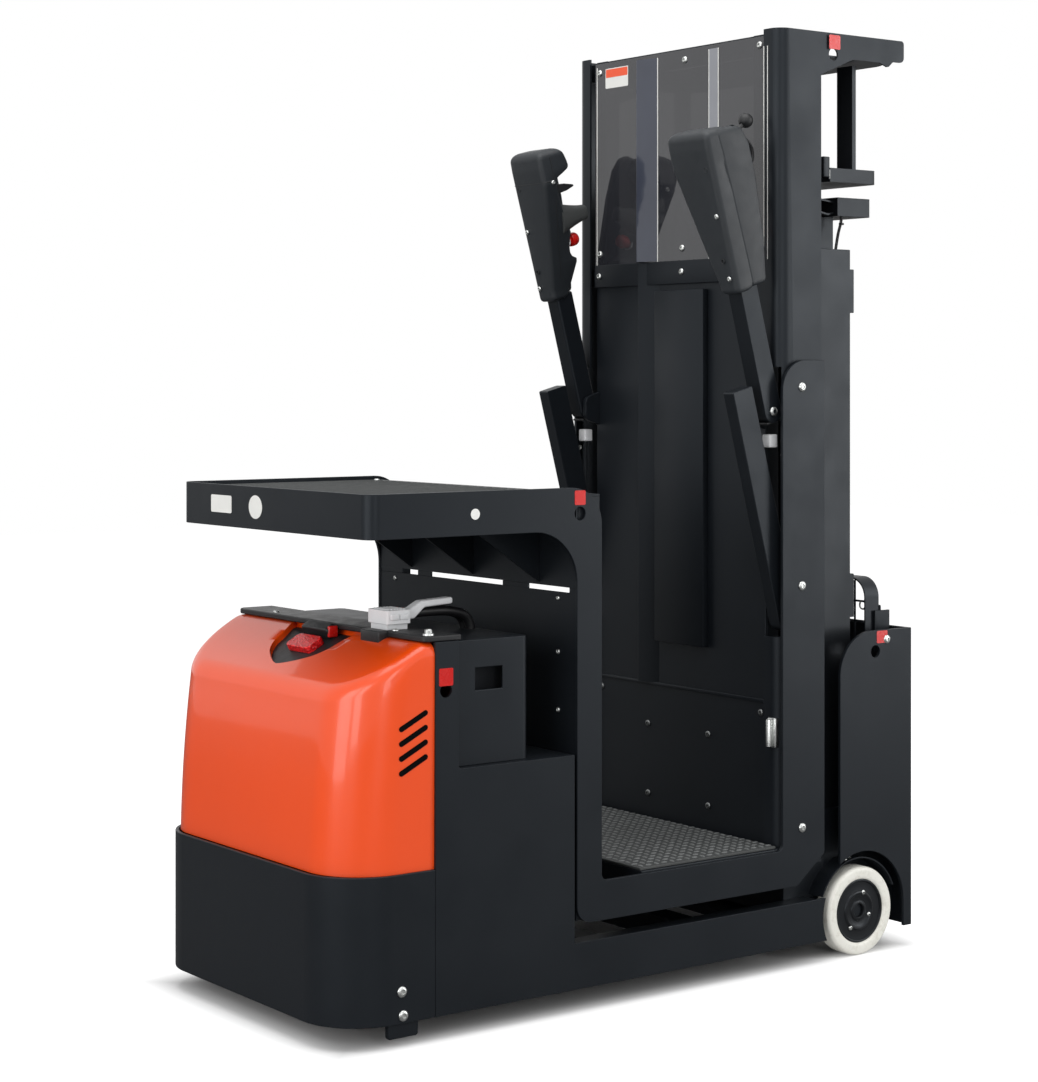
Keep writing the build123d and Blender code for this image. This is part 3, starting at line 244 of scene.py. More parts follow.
def cast_tyre():
    """Cream cast tyre: even, slightly yellowed, with faint mould streaks and scuffs on the tread."""
    tyre = Shader("cream_tyre", Specular_IOR_Level=0.4)
    scuff = tyre.ramp(tyre.noise(60.0, detail=6.0, roughness=0.7), 0.5, 0.85)
    clean, worn = srgb(226, 225, 217), srgb(192, 188, 176)
    tyre.link("Base Color", tyre.blend(scuff, clean, worn))
    tyre.link("Roughness", tyre.ramp(scuff, 0.0, 1.0, 0.36, 0.6))
    tyre.bump(tyre.noise(350.0, detail=3.0), 0.00012)
    return tyre.material


cream_tyre = cast_tyre()

# %% [markdown]
# Bare metals differ mostly in how rough they are: zinc is milky, a chromed rod is a mirror, a chain is oily.

# %% Bare metals
def bare_metal(name, colour, roughness, grain=500.0, depth=0.00004):
    """Metal with cloudy roughness and a fine grain."""
    metal = Shader(name, Metallic=1.0)
    cloud = metal.noise(70.0, detail=5.0)
    metal.link("Base Color", metal.blend(cloud, [c * 0.8 for c in colour], colour))
    metal.link("Roughness", metal.ramp(cloud, 0.3, 0.7, roughness * 0.7, roughness * 1.3))
    metal.bump(metal.noise(grain, detail=2.0), depth)
    return metal.material


zinc = bare_metal("zinc_bolt", srgb(214, 216, 214), 0.34)
# A darker copy of zinc for the bolts on the back wall: painted shade.
zinc_in_painted_shade = bare_metal("zinc_in_painted_shade", srgb(128, 130, 130), 0.46)
chain_steel = bare_metal("chain_steel", srgb(120, 118, 112), 0.40)
chrome = bare_metal("chrome_rod", srgb(206, 207, 210), 0.08, depth=0.00001)


def clear_sheet():
    """Smoked plastic window: a tenth of the light comes through, and its tint drifts a little."""
    pane = Shader("clear_window", Roughness=0.03, IOR=1.5, Specular_IOR_Level=1.0)
    haze = pane.noise(6.0, detail=3.0)
    pane.link("Base Color", pane.blend(haze, srgb(38, 39, 43), srgb(46, 47, 52)))
    pane.link("Alpha", pane.ramp(haze, 0.2, 0.8, 0.88, 0.92))
    return pane.material


window_glass = clear_sheet()


def prism_lens():
    """Red reflector: small pyramids in rows break the light into sparks."""
    lens = Shader("prism_lens", Roughness=0.30, Coat_Weight=0.12, Coat_Roughness=0.1)
    facets = lens.cells(230.0)
    depth = lens.ramp(facets, 0.1, 0.75)
    lens.link("Base Color", lens.blend(depth, srgb(255, 30, 34), srgb(190, 4, 8)))
    lens.bump(facets, 0.002, 0.9)
    return lens.material


red_lens = prism_lens()
print("materials:", len(bpy.data.materials))

# %% [markdown]
# ## Surfaces from arrays
# A surface is a grid of points: rows along one parameter, columns along the other. Quads join neighbours.
# `Form` keeps points and faces as arrays, so copies, turns and joins are one line of numpy each.

# %% The surface kit
class Form:
    """Points, quads and end caps of a surface, before it becomes a mesh."""

    def __init__(self, points, quads, caps=()):
        self.points = np.asarray(points, float).reshape(-1, 3)
        self.quads = np.asarray(quads, int).reshape(-1, 4)
        self.caps = [list(cap) for cap in caps]

    def __add__(self, other):
        shift = len(self.points)
        caps = self.caps + [[corner + shift for corner in cap] for cap in other.caps]
        quads = np.vstack([self.quads, other.quads + shift])
        return Form(np.vstack([self.points, other.points]), quads, caps)

    def at(self, x=0.0, y=0.0, z=0.0):
        """The same form, carried to a place."""
        return Form(self.points + (x, y, z), self.quads, self.caps)

    def turned(self, axis, degrees):
        """Turned about a main axis through the origin: the two other coordinates mix by cosine and sine."""
        first, second = {"x": (1, 2), "y": (2, 0), "z": (0, 1)}[axis]
        angle = math.radians(degrees)
        points, cos, sin = self.points.copy(), math.cos(angle), math.sin(angle)
        points[:, first] = self.points[:, first] * cos - self.points[:, second] * sin
        points[:, second] = self.points[:, first] * sin + self.points[:, second] * cos
        return Form(points, self.quads, self.caps)

    def mirrored(self):
        """The far side's twin: y changes sign and each face runs the other way round."""
        return Form(self.points * (1, -1, 1), self.quads[:, ::-1], [cap[::-1] for cap in self.caps])

    def both(self):
        """This form and its twin on the other side."""
        return self + self.mirrored()

    def copies(self, places):
        """One copy at each place, as one form."""
        places = np.asarray(places, float).reshape(-1, 3)
        shifts = np.arange(len(places)) * len(self.points)
        points = (places[:, None, :] + self.points[None, :, :]).reshape(-1, 3)
        quads = (shifts[:, None, None] + self.quads[None, :, :]).reshape(-1, 4)
        caps = [[corner + int(shift) for corner in cap] for shift in shifts for cap in self.caps]
        return Form(points, quads, caps)


def grid(points, ends=False):
    """Quads between neighbouring points of an array of rows and columns; each row closes on itself, and the
    first and last rows are capped where asked."""
    rows, columns = points.shape[:2]
    index = np.arange(rows * columns).reshape(rows, columns)
    caps = [index[0][::-1], index[-1]] if ends else []
    index = np.hstack([index, index[:, :1]])
    quads = np.stack([index[:-1, :-1], index[:-1, 1:], index[1:, 1:], index[1:, :-1]], axis=-1)
    return Form(points.reshape(-1, 3), quads.reshape(-1, 4), caps)


def lathe(rows, sides=32, axis="z", hexes=None):
    """Profile turned about an axis: rows of radius and height; where hexes is 1 the ring is a hexagon,
    whose radius is the apothem over the cosine of the angle from the middle of the nearest flat."""
    rows = np.asarray(rows, float)
    angle = np.arange(sides) * 2 * np.pi / sides
    from_flat = (angle + np.pi / 6) % (np.pi / 3) - np.pi / 6
    share = np.zeros(len(rows)) if hexes is None else np.asarray(hexes, float)
    swell = 1 + share[:, None] * (1 / np.cos(from_flat)[None, :] - 1)
    radius = rows[:, 0][:, None] * swell
    height = np.repeat(rows[:, 1][:, None], sides, axis=1)
    turned = np.stack([radius * np.cos(angle), radius * np.sin(angle), height], axis=-1)
    return grid(turned[..., {"y": (1, 2, 0), "z": (0, 1, 2)}[axis]])


def arc(centre, radius, start, stop, steps=8):
    """Points of a circular arc in a plane, angles in degrees."""
    angle = np.radians(np.linspace(start, stop, steps))
    return np.stack([centre[0] + radius * np.cos(angle), centre[1] + radius * np.sin(angle)], axis=-1)


def rounded(corners, steps=7):
    """Closed outline from rows of (first, second, radius): each corner is cut back by radius / tan(half the
    corner's angle) and an arc joins the two tangent points."""
    points = np.array([corner[:2] for corner in corners], float)
    path = []
    for here, (before, after) in zip(corners, zip(np.roll(points, 1, 0), np.roll(points, -1, 0))):
        corner, radius = np.array(here[:2], float), here[2]
        if radius <= 0:
            path.append(corner[None, :])
            continue
        back = (before - corner) / np.linalg.norm(before - corner)
        on = (after - corner) / np.linalg.norm(after - corner)
        half = math.acos(np.clip(np.dot(back, on), -1, 1)) / 2
        middle = (back + on) / np.linalg.norm(back + on)
        centre = corner + middle * radius / math.sin(half)
        first = corner + back * radius / math.tan(half) - centre
        last = corner + on * radius / math.tan(half) - centre
        turn = np.arctan2(first[0] * last[1] - first[1] * last[0], np.dot(first, last))
        angle = np.linspace(0, turn, steps)
        swept = np.stack([first[0] * np.cos(angle) - first[1] * np.sin(angle),
                          first[0] * np.sin(angle) + first[1] * np.cos(angle)], axis=-1)
        path.append(centre + swept)
    return np.vstack(path)


def card(left, right, bottom, top, radius, steps=7):
    """Outline of a rectangle with four equal round corners."""
    corners = [(left, bottom), (right, bottom), (right, top), (left, top)]
    return rounded([(*corner, radius) for corner in corners], steps)


def slab(outline, start, stop, axis="y"):
    """A flat outline given thickness along an axis; the outline's two columns are the other two axes."""
    outline = np.asarray(outline, float)
    layers = np.stack([np.column_stack([outline, np.full(len(outline), level)]) for level in (start, stop)])
    order = {"x": (2, 0, 1), "y": (0, 2, 1), "z": (0, 1, 2)}[axis]
    return grid(layers[..., order], ends=True)


def soft_block(corner, other, radius, steps=4):
    """Box with rounded edges: each point of a unit sphere, pushed out to the box's inner corner."""
    corner, other = np.minimum(corner, other), np.maximum(corner, other)
    inner = (other - corner) / 2 - radius
    quarter = np.linspace(0, 90, steps)
    turn = np.concatenate([quarter + start for start in (0, 90, 180, 270)])
    lift = np.concatenate([quarter - 90, quarter])
    side_x = np.sign(np.cos(np.radians(np.repeat([45, 135, 225, 315], steps))))
    side_y = np.sign(np.sin(np.radians(np.repeat([45, 135, 225, 315], steps))))
    side_z = np.repeat([-1.0, 1.0], steps)
    turn, lift = np.radians(turn)[None, :], np.radians(lift)[:, None]
    x = radius * np.cos(lift) * np.cos(turn) + inner[0] * side_x[None, :]
    y = radius * np.cos(lift) * np.sin(turn) + inner[1] * side_y[None, :]
    z = radius * np.sin(lift) + inner[2] * side_z[:, None] + 0 * turn
    return grid(np.stack([x, y, z], axis=-1), ends=True).at(*((corner + other) / 2))


def smooth_path(points, steps=8):
    """Catmull-Rom curve: between two points the curve leaves along half the step to their neighbours."""
    points = np.asarray(points, float)
    ends = np.vstack([2 * points[0] - points[1], points, 2 * points[-1] - points[-2]])
    t = np.linspace(0, 1, steps, endpoint=False)[None, :, None]
    a, b, c, d = (ends[i:len(ends) - 3 + i][:, None, :] for i in range(4))
    square, cube = 2 * a - 5 * b + 4 * c - d, 3 * b - a - 3 * c + d
    curve = 0.5 * (2 * b + (c - a) * t + square * t ** 2 + cube * t ** 3)
    return np.vstack([curve.reshape(-1, points.shape[1]), points[-1]])


def tube(path, radius, sides=12):
    """Ring of points carried along a path; each ring lies across the path's local direction."""
    path = np.asarray(path, float)
    along = np.gradient(path, axis=0)
    along /= np.linalg.norm(along, axis=1)[:, None]
    spread = np.abs(along).mean(axis=0)
    guide = np.eye(3)[int(np.argmin(spread))]
    across = np.cross(along, guide)
    across /= np.linalg.norm(across, axis=1)[:, None]
    upward = np.cross(across, along)
    angle = np.arange(sides) * 2 * np.pi / sides
    radius = np.broadcast_to(np.asarray(radius, float), (len(path),))
    cos, sin = np.cos(angle)[None, :, None], np.sin(angle)[None, :, None]
    ring = cos * across[:, None, :] + sin * upward[:, None, :]
    return grid(path[:, None, :] + radius[:, None, None] * ring, ends=True)


def strip(path, across, thickness):
    """Flat bar that follows a path: half its width to each side along `across`, its thickness along the
    normal of path and width."""
    path = np.asarray(path, float)
    along = np.gradient(path, axis=0)
    along /= np.linalg.norm(along, axis=1)[:, None]
    across = np.asarray(across, float)
    normal = np.cross(along, across / np.linalg.norm(across))
    corners = [(-1, -1), (1, -1), (1, 1), (-1, 1)]
    rings = [path + side * across + face * normal * thickness / 2 for side, face in corners]
    return grid(np.stack(rings, axis=1), ends=True)

# %% [markdown]
# ## From a form to a piece
# A piece is a mesh object at the origin that rides on one body. Doubles are merged and the faces are turned
# outwards first, and edges sharper than 35 degrees stay sharp while the rest shade smoothly.

# %% Making a piece
SHARP = math.radians(35)


def merged(mesh, distance, work):
    """Merges the doubles of a mesh, does one piece of work on it and gives it back."""
    tidy = bmesh.new()
    tidy.from_mesh(mesh)
    bmesh.ops.remove_doubles(tidy, verts=tidy.verts, dist=distance)
    work(tidy)
    tidy.to_mesh(mesh)
    tidy.free()
    return mesh


def turned_out(tidy):
    """Drops faces without area and turns the rest outwards."""
    bmesh.ops.dissolve_degenerate(tidy, edges=tidy.edges, dist=1e-7)
    bmesh.ops.recalc_face_normals(tidy, faces=tidy.faces)


def flats_joined(tidy):
    """Joins triangles that lie in one plane back into polygons."""
    bmesh.ops.dissolve_limit(tidy, angle_limit=math.radians(0.6), verts=tidy.verts, edges=tidy.edges)


def mesh_of(name, form):
    """Mesh of a form, with its doubles merged and its faces turned outwards."""
    mesh = bpy.data.meshes.new(name)
    mesh.from_pydata(form.points.tolist(), [], form.quads.tolist() + form.caps)
    return merged(mesh, 1e-6, turned_out)


def make(name, form, material, body, bevel=0.0, segments=2, sharp=SHARP, replaces=()):
    """Turns a form or a mesh into a finished piece on a body, standing for the CAD nodes it replaces.
    Every edge that turns more than the angle `sharp` stays sharp."""
    mesh = mesh_of(name, form) if isinstance(form, Form) else form
    mesh.polygons.foreach_set("use_smooth", np.ones(len(mesh.polygons), bool))
    mesh.set_sharp_from_angle(angle=sharp)
    mesh.materials.clear()
    mesh.materials.append(material)
    piece = bpy.data.objects.new(name, mesh)
    bpy.context.scene.collection.objects.link(piece)
    if bevel:
        round_edges(piece, bevel, segments)
    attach(piece, body)
    if replaces:
        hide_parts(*replaces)


def round_edges(piece, width, segments):
    """Real rounded edges: a bevel on every edge that turns more than 40 degrees."""
    bevel = piece.modifiers.new("rounded edges", "BEVEL")
    bevel.width = width
    bevel.segments = segments
    bevel.limit_method = "ANGLE"
    bevel.angle_limit = math.radians(40)
    bevel.harden_normals = True
    bevel.use_clamp_overlap = True

# %% [markdown]
# ## Dressing the CAD solids
# Sheet steel never has a knife edge, and the thin highlight along each edge is what makes it look like
# metal. A CAD node may not be changed, so a merged copy of its mesh stands for it: flat faces are joined
# back into polygons and a bevel rounds what is left.

# %% Dressed copies
def dressed(node, material, width, segments=2):
    """A copy of a CAD node with its flat triangles joined and its edges rounded, which replaces it."""
    mesh = merged(frame["nodes"][node].data.copy(), 2e-5, flats_joined)
    mesh.name = node + "_dressed"
    make(node + "_dressed", mesh, material, BODY_OF[node], width, segments, replaces=(node,))


BODY_OF = {node: body for body, nodes in frame["record"]["behaviour"]["bodies"].items() for node in nodes}


def repaint(node, material):
    """Gives a CAD node its finish and leaves its shape."""
    mesh = frame["nodes"][node].data
    mesh.materials.clear()
    mesh.materials.append(material)

# %% [markdown]
# ## Camera
# The photo's verticals are parallel, so its camera was level and its picture was shifted down. The place and
# the lens below come from the vanishing lines of the real truck, with its width taken as 750 mm.

# %% The photo's camera
PHOTO_HEIGHT = 1082
FOCAL_PIXELS = 2353.17
SENSOR = 36.0
CAMERA_PLACE = (-3.190, -4.201, 1.310)
CAMERA_TURN = -36.593
CAMERA_SHIFT = -0.1506


def photo_camera():
    """Level camera, turned about the vertical, with the picture's centre shifted below the horizon."""
    camera = bpy.data.cameras.new("photo_camera")
    camera.lens = FOCAL_PIXELS * SENSOR / PHOTO_HEIGHT
    camera.sensor_width = SENSOR
    camera.sensor_fit = "AUTO"
    camera.shift_y = CAMERA_SHIFT
    camera.clip_start, camera.clip_end = 0.05, 60.0
    placed = bpy.data.objects.new("photo_camera", camera)
    placed.location = CAMERA_PLACE
    placed.rotation_euler = (math.radians(90), 0, math.radians(CAMERA_TURN))
    bpy.context.scene.collection.objects.link(placed)
    bpy.context.scene.camera = placed


photo_camera()
bpy.context.scene.view_settings.view_transform = "Standard"
print("lens", round(bpy.context.scene.camera.data.lens, 2), "mm")

# %% [markdown]
# ## Studio
# A white sweep and soft boxes. Black paint shows almost nothing but what it mirrors, so the boxes are large
# and each makes one broad band of light on the plates. The white behind the truck is not more light: sweep and
# world are white to camera rays only, and in mirrors the floor is dim, as the plates in the photo show it.

# %% White sweep and world
FADE_BOX = (0.74, 0.33)
FLOOR_HALF = 14.0
FLOOR_WHITE, FLOOR_MIRROR, FLOOR_GLOW = 0.80, 0.22, 0.72
SKY_LIGHT, SKY_MIRROR = 0.42, 0.95
WHITE = (1, 1, 1, 1)


def seen_directly(graph):
    """One for camera and transmission rays, nought for all others."""
    camera, through = [graph.node("ShaderNodeLightPath", output="Is %s Ray" % ray)
                       for ray in ("Camera", "Transmission")]
    return camera.math("MAXIMUM", through)


def mirror_level(graph, light, mirror):
    """One level for the rays that mirrors send out and another for all other rays."""
    return graph.node("ShaderNodeLightPath", output="Is Glossy Ray") * (mirror - light) + light


def footprint_fade(graph, strength):
    """Nought under the truck, and the full strength from a hand's width outside its plan box."""
    place = graph.node("ShaderNodeTexCoord", output="Object")
    gaps = [graph.node("ShaderNodeSeparateXYZ", None, {0: place}, axis).math("ABSOLUTE") - half
            for axis, half in enumerate(FADE_BOX)]
    return graph.node("ShaderNodeMapRange", {"interpolation_type": "SMOOTHSTEP"},
                      {"Value": gaps[0].math("MAXIMUM", gaps[1]), "From Min": -0.03, "From Max": 0.14,
                       "To Max": strength})


def white_sweep():
    """Floor that keeps the truck's shadow, is white to the camera where none falls, and is dim in mirrors.
    From below it is clear, so that the underside can be seen."""
    mesh = bpy.data.meshes.new("studio_floor")
    corners = [(FLOOR_HALF * x, FLOOR_HALF * y, 0) for x, y in ((-1, -1), (1, -1), (1, 1), (-1, 1))]
    mesh.from_pydata(corners, [], [(0, 1, 2, 3)])
    material = bpy.data.materials.new("studio_white")
    material.use_nodes = True
    graph = Graph(material.node_tree)
    colour = mirror_level(graph, FLOOR_WHITE, FLOOR_MIRROR)
    shaded = graph.node("ShaderNodeBsdfDiffuse", None, {"Color": colour})
    level = seen_directly(graph) * footprint_fade(graph, FLOOR_GLOW)
    glow = graph.node("ShaderNodeEmission", None, {"Color": WHITE, "Strength": level})
    sides = {0: graph.node("ShaderNodeNewGeometry", output="Backfacing"),
             1: graph.node("ShaderNodeAddShader", None, {0: shaded, 1: glow}),
             2: graph.node("ShaderNodeBsdfTransparent")}
    graph.node("ShaderNodeOutputMaterial", None, {"Surface": graph.node("ShaderNodeMixShader", None, sides)})
    mesh.materials.append(material)
    floor = bpy.data.objects.new("studio_floor", mesh)
    bpy.context.scene.collection.objects.link(floor)


def studio_world():
    """White where the camera, a mirror or a pane looks, and a dim even sky for everything else."""
    world = bpy.data.worlds.new("studio_world")
    world.use_nodes = True
    graph = Graph(world.node_tree)
    level = mirror_level(graph, SKY_LIGHT, SKY_MIRROR).math("MAXIMUM", seen_directly(graph))
    sky = graph.node("ShaderNodeBackground", None, {"Color": WHITE, "Strength": level})
    graph.node("ShaderNodeOutputWorld", None, {"Surface": sky})
    bpy.context.scene.world = world


white_sweep()
studio_world()

# %% [markdown]
# ## Lamps
# One large box hangs overhead and one stands at each side. Two tall narrow ones in front draw the bright
# bands on the edges of the plates.

# %% Soft boxes
def soft_box(name, place, aim, size, power):
    """Rectangular area lamp at a place, facing the point it is aimed at."""
    lamp = bpy.data.lights.new(name, "AREA")
    lamp.shape = "RECTANGLE"
    lamp.size, lamp.size_y = size
    lamp.energy = power
    box = bpy.data.objects.new(name, lamp)
    away = np.array(place, float) - np.array(aim, float)
    turn = math.atan2(away[1], away[0]) + math.pi / 2
    tilt = math.atan2(math.hypot(away[0], away[1]), away[2])
    box.location = place
    box.rotation_euler = (tilt, 0, turn)
    bpy.context.scene.collection.objects.link(box)


soft_box("overhead_box", (-0.4, -0.6, 4.2), (0.0, 0.0, 0.6), (3.6, 3.0), 95)
soft_box("right_box", (3.4, -3.2, 1.9), (0.2, 0.0, 1.0), (1.4, 3.4), 78)
soft_box("left_box", (-4.2, -0.6, 1.7), (-0.3, 0.0, 0.8), (1.6, 2.8), 42)
soft_box("strip_box_left", (-4.7, -2.6, 2.1), (0.4, -0.3, 1.2), (1.1, 3.2), 42)
soft_box("strip_box_front", (-1.7, -5.6, 2.1), (0.4, -0.3, 1.3), (1.1, 3.2), 42)
print("studio ready")

# %% [markdown]
# ## Sheet metal
# Every painted solid of the frame gets its paint and its rounded edges here. The widths are those of laser
# cut plate, 1 mm, and of rolled or cast parts, up to 2.5 mm.

# %% Dressing the painted solids
PAINTED = {
    "chassis_frame": 0.0015, "axle_carriers": 0.0008, "tail_plates": 0.0011, "tail_cross_plate": 0.0011,
    "bumper": 0.0020, "battery_box": 0.0016, "skid_feet": 0.0020, "drive_mount": 0.0010,
    "tail_guard": 0.0010, "guard_grid": 0.0, "tray_pan": 0.0008, "cross_panel": 0.0010,
    "floor_box": 0.0025, "carriage_backframe": 0.0010, "upright_frames": 0.0010, "roof_plate": 0.0010,
    "guard_brackets": 0.0010,
}
for node, width in PAINTED.items():
    if width:
        dressed(node, black_paint, width)
    else:
        repaint(node, black_paint)
for node in ("mast_outer", "mast_middle", "mast_inner", "lift_cylinder"):
    dressed(node, mast_paint, 0.0015)
dressed("drive_housing", dark_paint, 0.0030)
dressed("drive_tyre", dark_tyre, 0.0060, 3)
dressed("drive_hub", dark_paint, 0.0020)
dressed("deck_plate", black_plastic, 0.0030)
repaint("battery_block", dark_paint)
repaint("lift_rod", chrome)
for side in SIDES:
    dressed("guard_arm_" + side, black_paint, 0.0060, 3)
    dressed("guard_bar_" + side, black_paint, 0.0025, 3)
print("dressed", len(PAINTED), "painted nodes")

# %% [markdown]
# ## Sheets that were cut as one piece
# The CAD model splits the long side plates where a body needs it. On the truck each is one laser cut sheet,
# so a union of the solids stands for them and no seam shows.

# %% United sheets
def combined(base, others=(), thickness=0.0):
    """A mesh given a shell thickness, or united with others, as a new mesh."""
    held = [bpy.data.objects.new("held_mesh", mesh) for mesh in [base, *others]]
    for piece in held:
        bpy.context.scene.collection.objects.link(piece)
    if thickness:
        shell = held[0].modifiers.new("shell", "SOLIDIFY")
        shell.thickness = thickness
        shell.offset = -1
    for other in held[1:]:
        step = held[0].modifiers.new("step", "BOOLEAN")
        step.operation = "UNION"
        step.solver = "EXACT"
        step.object = other
    graph = bpy.context.evaluated_depsgraph_get()
    result = bpy.data.meshes.new_from_object(held[0].evaluated_get(graph))
    for piece in held:
        bpy.data.objects.remove(piece)
    return result


def united(name, nodes, width):
    """One sheet that stands for several nodes of the same body, with rounded edges."""
    meshes = [frame["nodes"][node].data.copy() for node in nodes]
    sheet = merged(combined(meshes[0], meshes[1:]), 2e-5, flats_joined)
    make(name, sheet, black_paint, BODY_OF[nodes[0]], width, replaces=nodes)


united("chassis_sheets", ("side_plates", "beam_plates"), 0.0011)
united("carriage_sheets", ("carriage_sides", "tray_sides", "tray_rim"), 0.0011)

# %% [markdown]
# ## Screws
# One head serves the whole truck: a button screw. It stands on z = 0 and is turned and copied to where it
# belongs.

# %% Heads
def screw(radius, height):
    """Button screw: a low dome over a flange, with a hexagon socket."""
    shares = [(1, 0), (1, 0.25), (0.93, 0.55), (0.72, 0.88), (0.5, 1), (0.42, 1), (0.42, 0.4), (0, 0.4)]
    rows = [(radius * wide, height * high_up) for wide, high_up in shares]
    return lathe(rows, 24, "z", [0, 0, 0, 0, 0, 1, 1, 1])


FACING = {"-y": ("x", 90), "+y": ("x", -90), "+x": ("y", 90), "-x": ("y", -90), "+z": ("z", 0)}


def heads(name, head, facing, places, body, material=zinc):
    """A head turned to face one way, copied to each place, as one metal piece."""
    make(name, head.turned(*FACING[facing]).copies(places), material, body)

# %% [markdown]
# ## Mast wheels
# A wheel is a profile turned about its axle. The tyre has rounded shoulders and a thin lip over the rim, the
# hub a pressed ring round its cap. The profile is that of the far wheel; the near one is its mirror image.

# %% Tyres and hubs
def wheel(side):
    """Cream tyre, black hub and three zinc screws on the body of one mast wheel."""
    body = "load_wheel_" + side
    inner, outer, shoulder = 0.3262, 0.3738, 0.0085
    tread = np.vstack([
        [(0.0722, inner + 0.0020), (0.0760, inner)],
        arc((0.1 - shoulder, inner + shoulder), shoulder, -90, 0),
        arc((0.1 - shoulder, outer - shoulder), shoulder, 0, 90),
        [(0.0790, outer), (0.0765, outer - 0.0006), (0.0735, outer - 0.0022), (0.0722, outer - 0.0040),
         (0.0722, inner + 0.0020)],
    ])
    back = [(0.0153, 0.0030), (0.0560, 0.0030), (0.0575, 0.0100), (0.0640, 0.0120), (0.0700, 0.0020),
            (0.0720, 0.0020)]
    front = [(0.0720, 0.0060), (0.0712, 0.0042), (0.0690, 0.0036), (0.0672, 0.0044), (0.0660, 0.0075),
             (0.0560, 0.0083), (0.0450, 0.0072), (0.0436, 0.0050), (0.0412, 0.0038), (0.0386, 0.0040),
             (0.0368, 0.0058), (0.0340, 0.0074), (0.0240, 0.0078), (0.0224, 0.0056), (0.0200, 0.0048),
             (0.0165, 0.0048), (0.0153, 0.0060)]
    disc = [(radius, inner + depth) for radius, depth in back]
    disc += [(radius, outer - depth) for radius, depth in front] + disc[:1]
    screws = screw(0.0055, 0.0034).turned(*FACING["+y"]).copies(
        [(0.013, outer - 0.0058, 0.040), (0.033, outer - 0.0078, -0.013), (-0.026, outer - 0.0068, -0.036)])
    forms = [lathe(tread, 96, "y"), lathe(disc, 72, "y"), screws]
    if side == "near":
        forms = [form.mirrored() for form in forms]
    tyre, hub, screws = [form.at(WHEEL_X, 0, WHEEL_Z) for form in forms]
    make("tyre_" + side, tyre, cream_tyre, body, replaces=("load_tyre_" + side,))
    make("hub_" + side, hub, hub_paint, body, sharp=math.radians(28),
         replaces=("load_hub_" + side,))
    make("hub_screws_" + side, screws, zinc, body)


hub_paint = powder_coat("hub_paint", srgb(24, 25, 27), roughness=0.36)
for side in SIDES:
    wheel(side)
print("wheels made")

# %% [markdown]
# ## The orange cover
# One grid makes the cover. Its columns follow the outline of the nose and then the straight edge under the
# deck. Its rows climb the wall, turn over a rounded edge, cross the sloping top and sink into the recess of
# the lamp. A shell modifier gives it thickness, and the vents are black inlays: painted shade in place of
# open slots.

# %% Cover surface
COVER_LOW, COVER_TOP = low("hood")[2], high("hood")[2]
COVER_BACK = high("hood")[0]
EDGE_R = 0.026
LAMP_MIDDLE = np.array([-0.612, 0.0])


def cover_height(x):
    """Sloping top and level rear: the smooth minimum of two planes, half their sum less half the root of
    their squared gap and a little more."""
    slope = 0.746 + (x + 0.654) * math.tan(math.radians(30))
    return (slope + COVER_TOP - np.sqrt((slope - COVER_TOP) ** 2 + 0.005 ** 2)) / 2


def cover_plan(share):
    """Outline and inward directions at a share of the full height; the front leans back along a parabola."""
    front = -0.768 + 0.0104 * share + 0.033 * share ** 2
    side, radius = 0.369 + 0.003 * share, 0.124
    along = np.linspace(COVER_BACK, front + radius, 16)
    turn = np.radians(np.linspace(0, 90, 18))[1:-1]
    corner = np.stack([front + radius - radius * np.sin(turn), -side + radius - radius * np.cos(turn)], -1)
    across = np.linspace(-side + radius, side - radius, 26)
    near = np.stack([along, np.full(16, -side)], -1)
    nose = np.stack([np.full(26, front), across], -1)
    rear = np.linspace(side, -side, 40)[1:-1]
    points = np.vstack([near, corner, nose, corner[::-1] * (1, -1), near[::-1] * (1, -1),
                        np.stack([np.full(38, COVER_BACK), rear], -1)])
    inward = np.stack([np.sin(turn), np.cos(turn)], -1)
    ways = np.vstack([np.tile([0, 1], (16, 1)), inward, np.tile([1, 0], (26, 1)), inward[::-1] * (1, -1),
                      np.tile([0, -1], (16, 1)), np.tile([-1, 0], (38, 1))])
    return points, ways


def cover_wall(rise):
    """Outline at a height that differs from column to column: one share per column."""
    share = (rise - COVER_LOW) / (COVER_TOP - COVER_LOW)
    whole = np.array([cover_plan(step)[0] for step in np.linspace(0, 1, 41)])
    place = np.clip(share, 0, 1) * 40
    first = np.minimum(place.astype(int), 39)
    part = (place - first)[:, None]
    columns = np.arange(len(rise))
    return whole[first, columns] * (1 - part) + whole[first + 1, columns] * part


def recess_outline(count):
    """Pointed recess round the lamp, from its near rear corner by the tip to the far one and back."""
    half = smooth_path([(-0.697, 0), (-0.692, 0.020), (-0.680, 0.050), (-0.661, 0.084), (-0.636, 0.106),
                        (-0.607, 0.116), (-0.578, 0.132), (-0.558, 0.146)], 12)
    curve = np.vstack([half[::-1] * (1, -1), half[1:]])
    length = np.concatenate([[0], np.cumsum(np.linalg.norm(np.diff(curve, axis=0), axis=1))])
    at = np.linspace(0, length[-1], count)
    front = np.stack([np.interp(at, length, curve[:, k]) for k in (0, 1)], -1)
    rear = np.linspace(0.146, -0.146, 40)[1:-1]
    return np.vstack([front, np.stack([np.full(38, -0.558), rear], -1)])


def sunk(pit, steps):
    """Rows of the recess: its outline at a share of its size about the lamp, at a depth below the top."""
    plans = [(LAMP_MIDDLE + (pit - LAMP_MIDDLE) * share, depth) for share, depth in steps]
    return [np.column_stack([plan, cover_height(plan[:, 0]) - depth]) for plan, depth in plans]


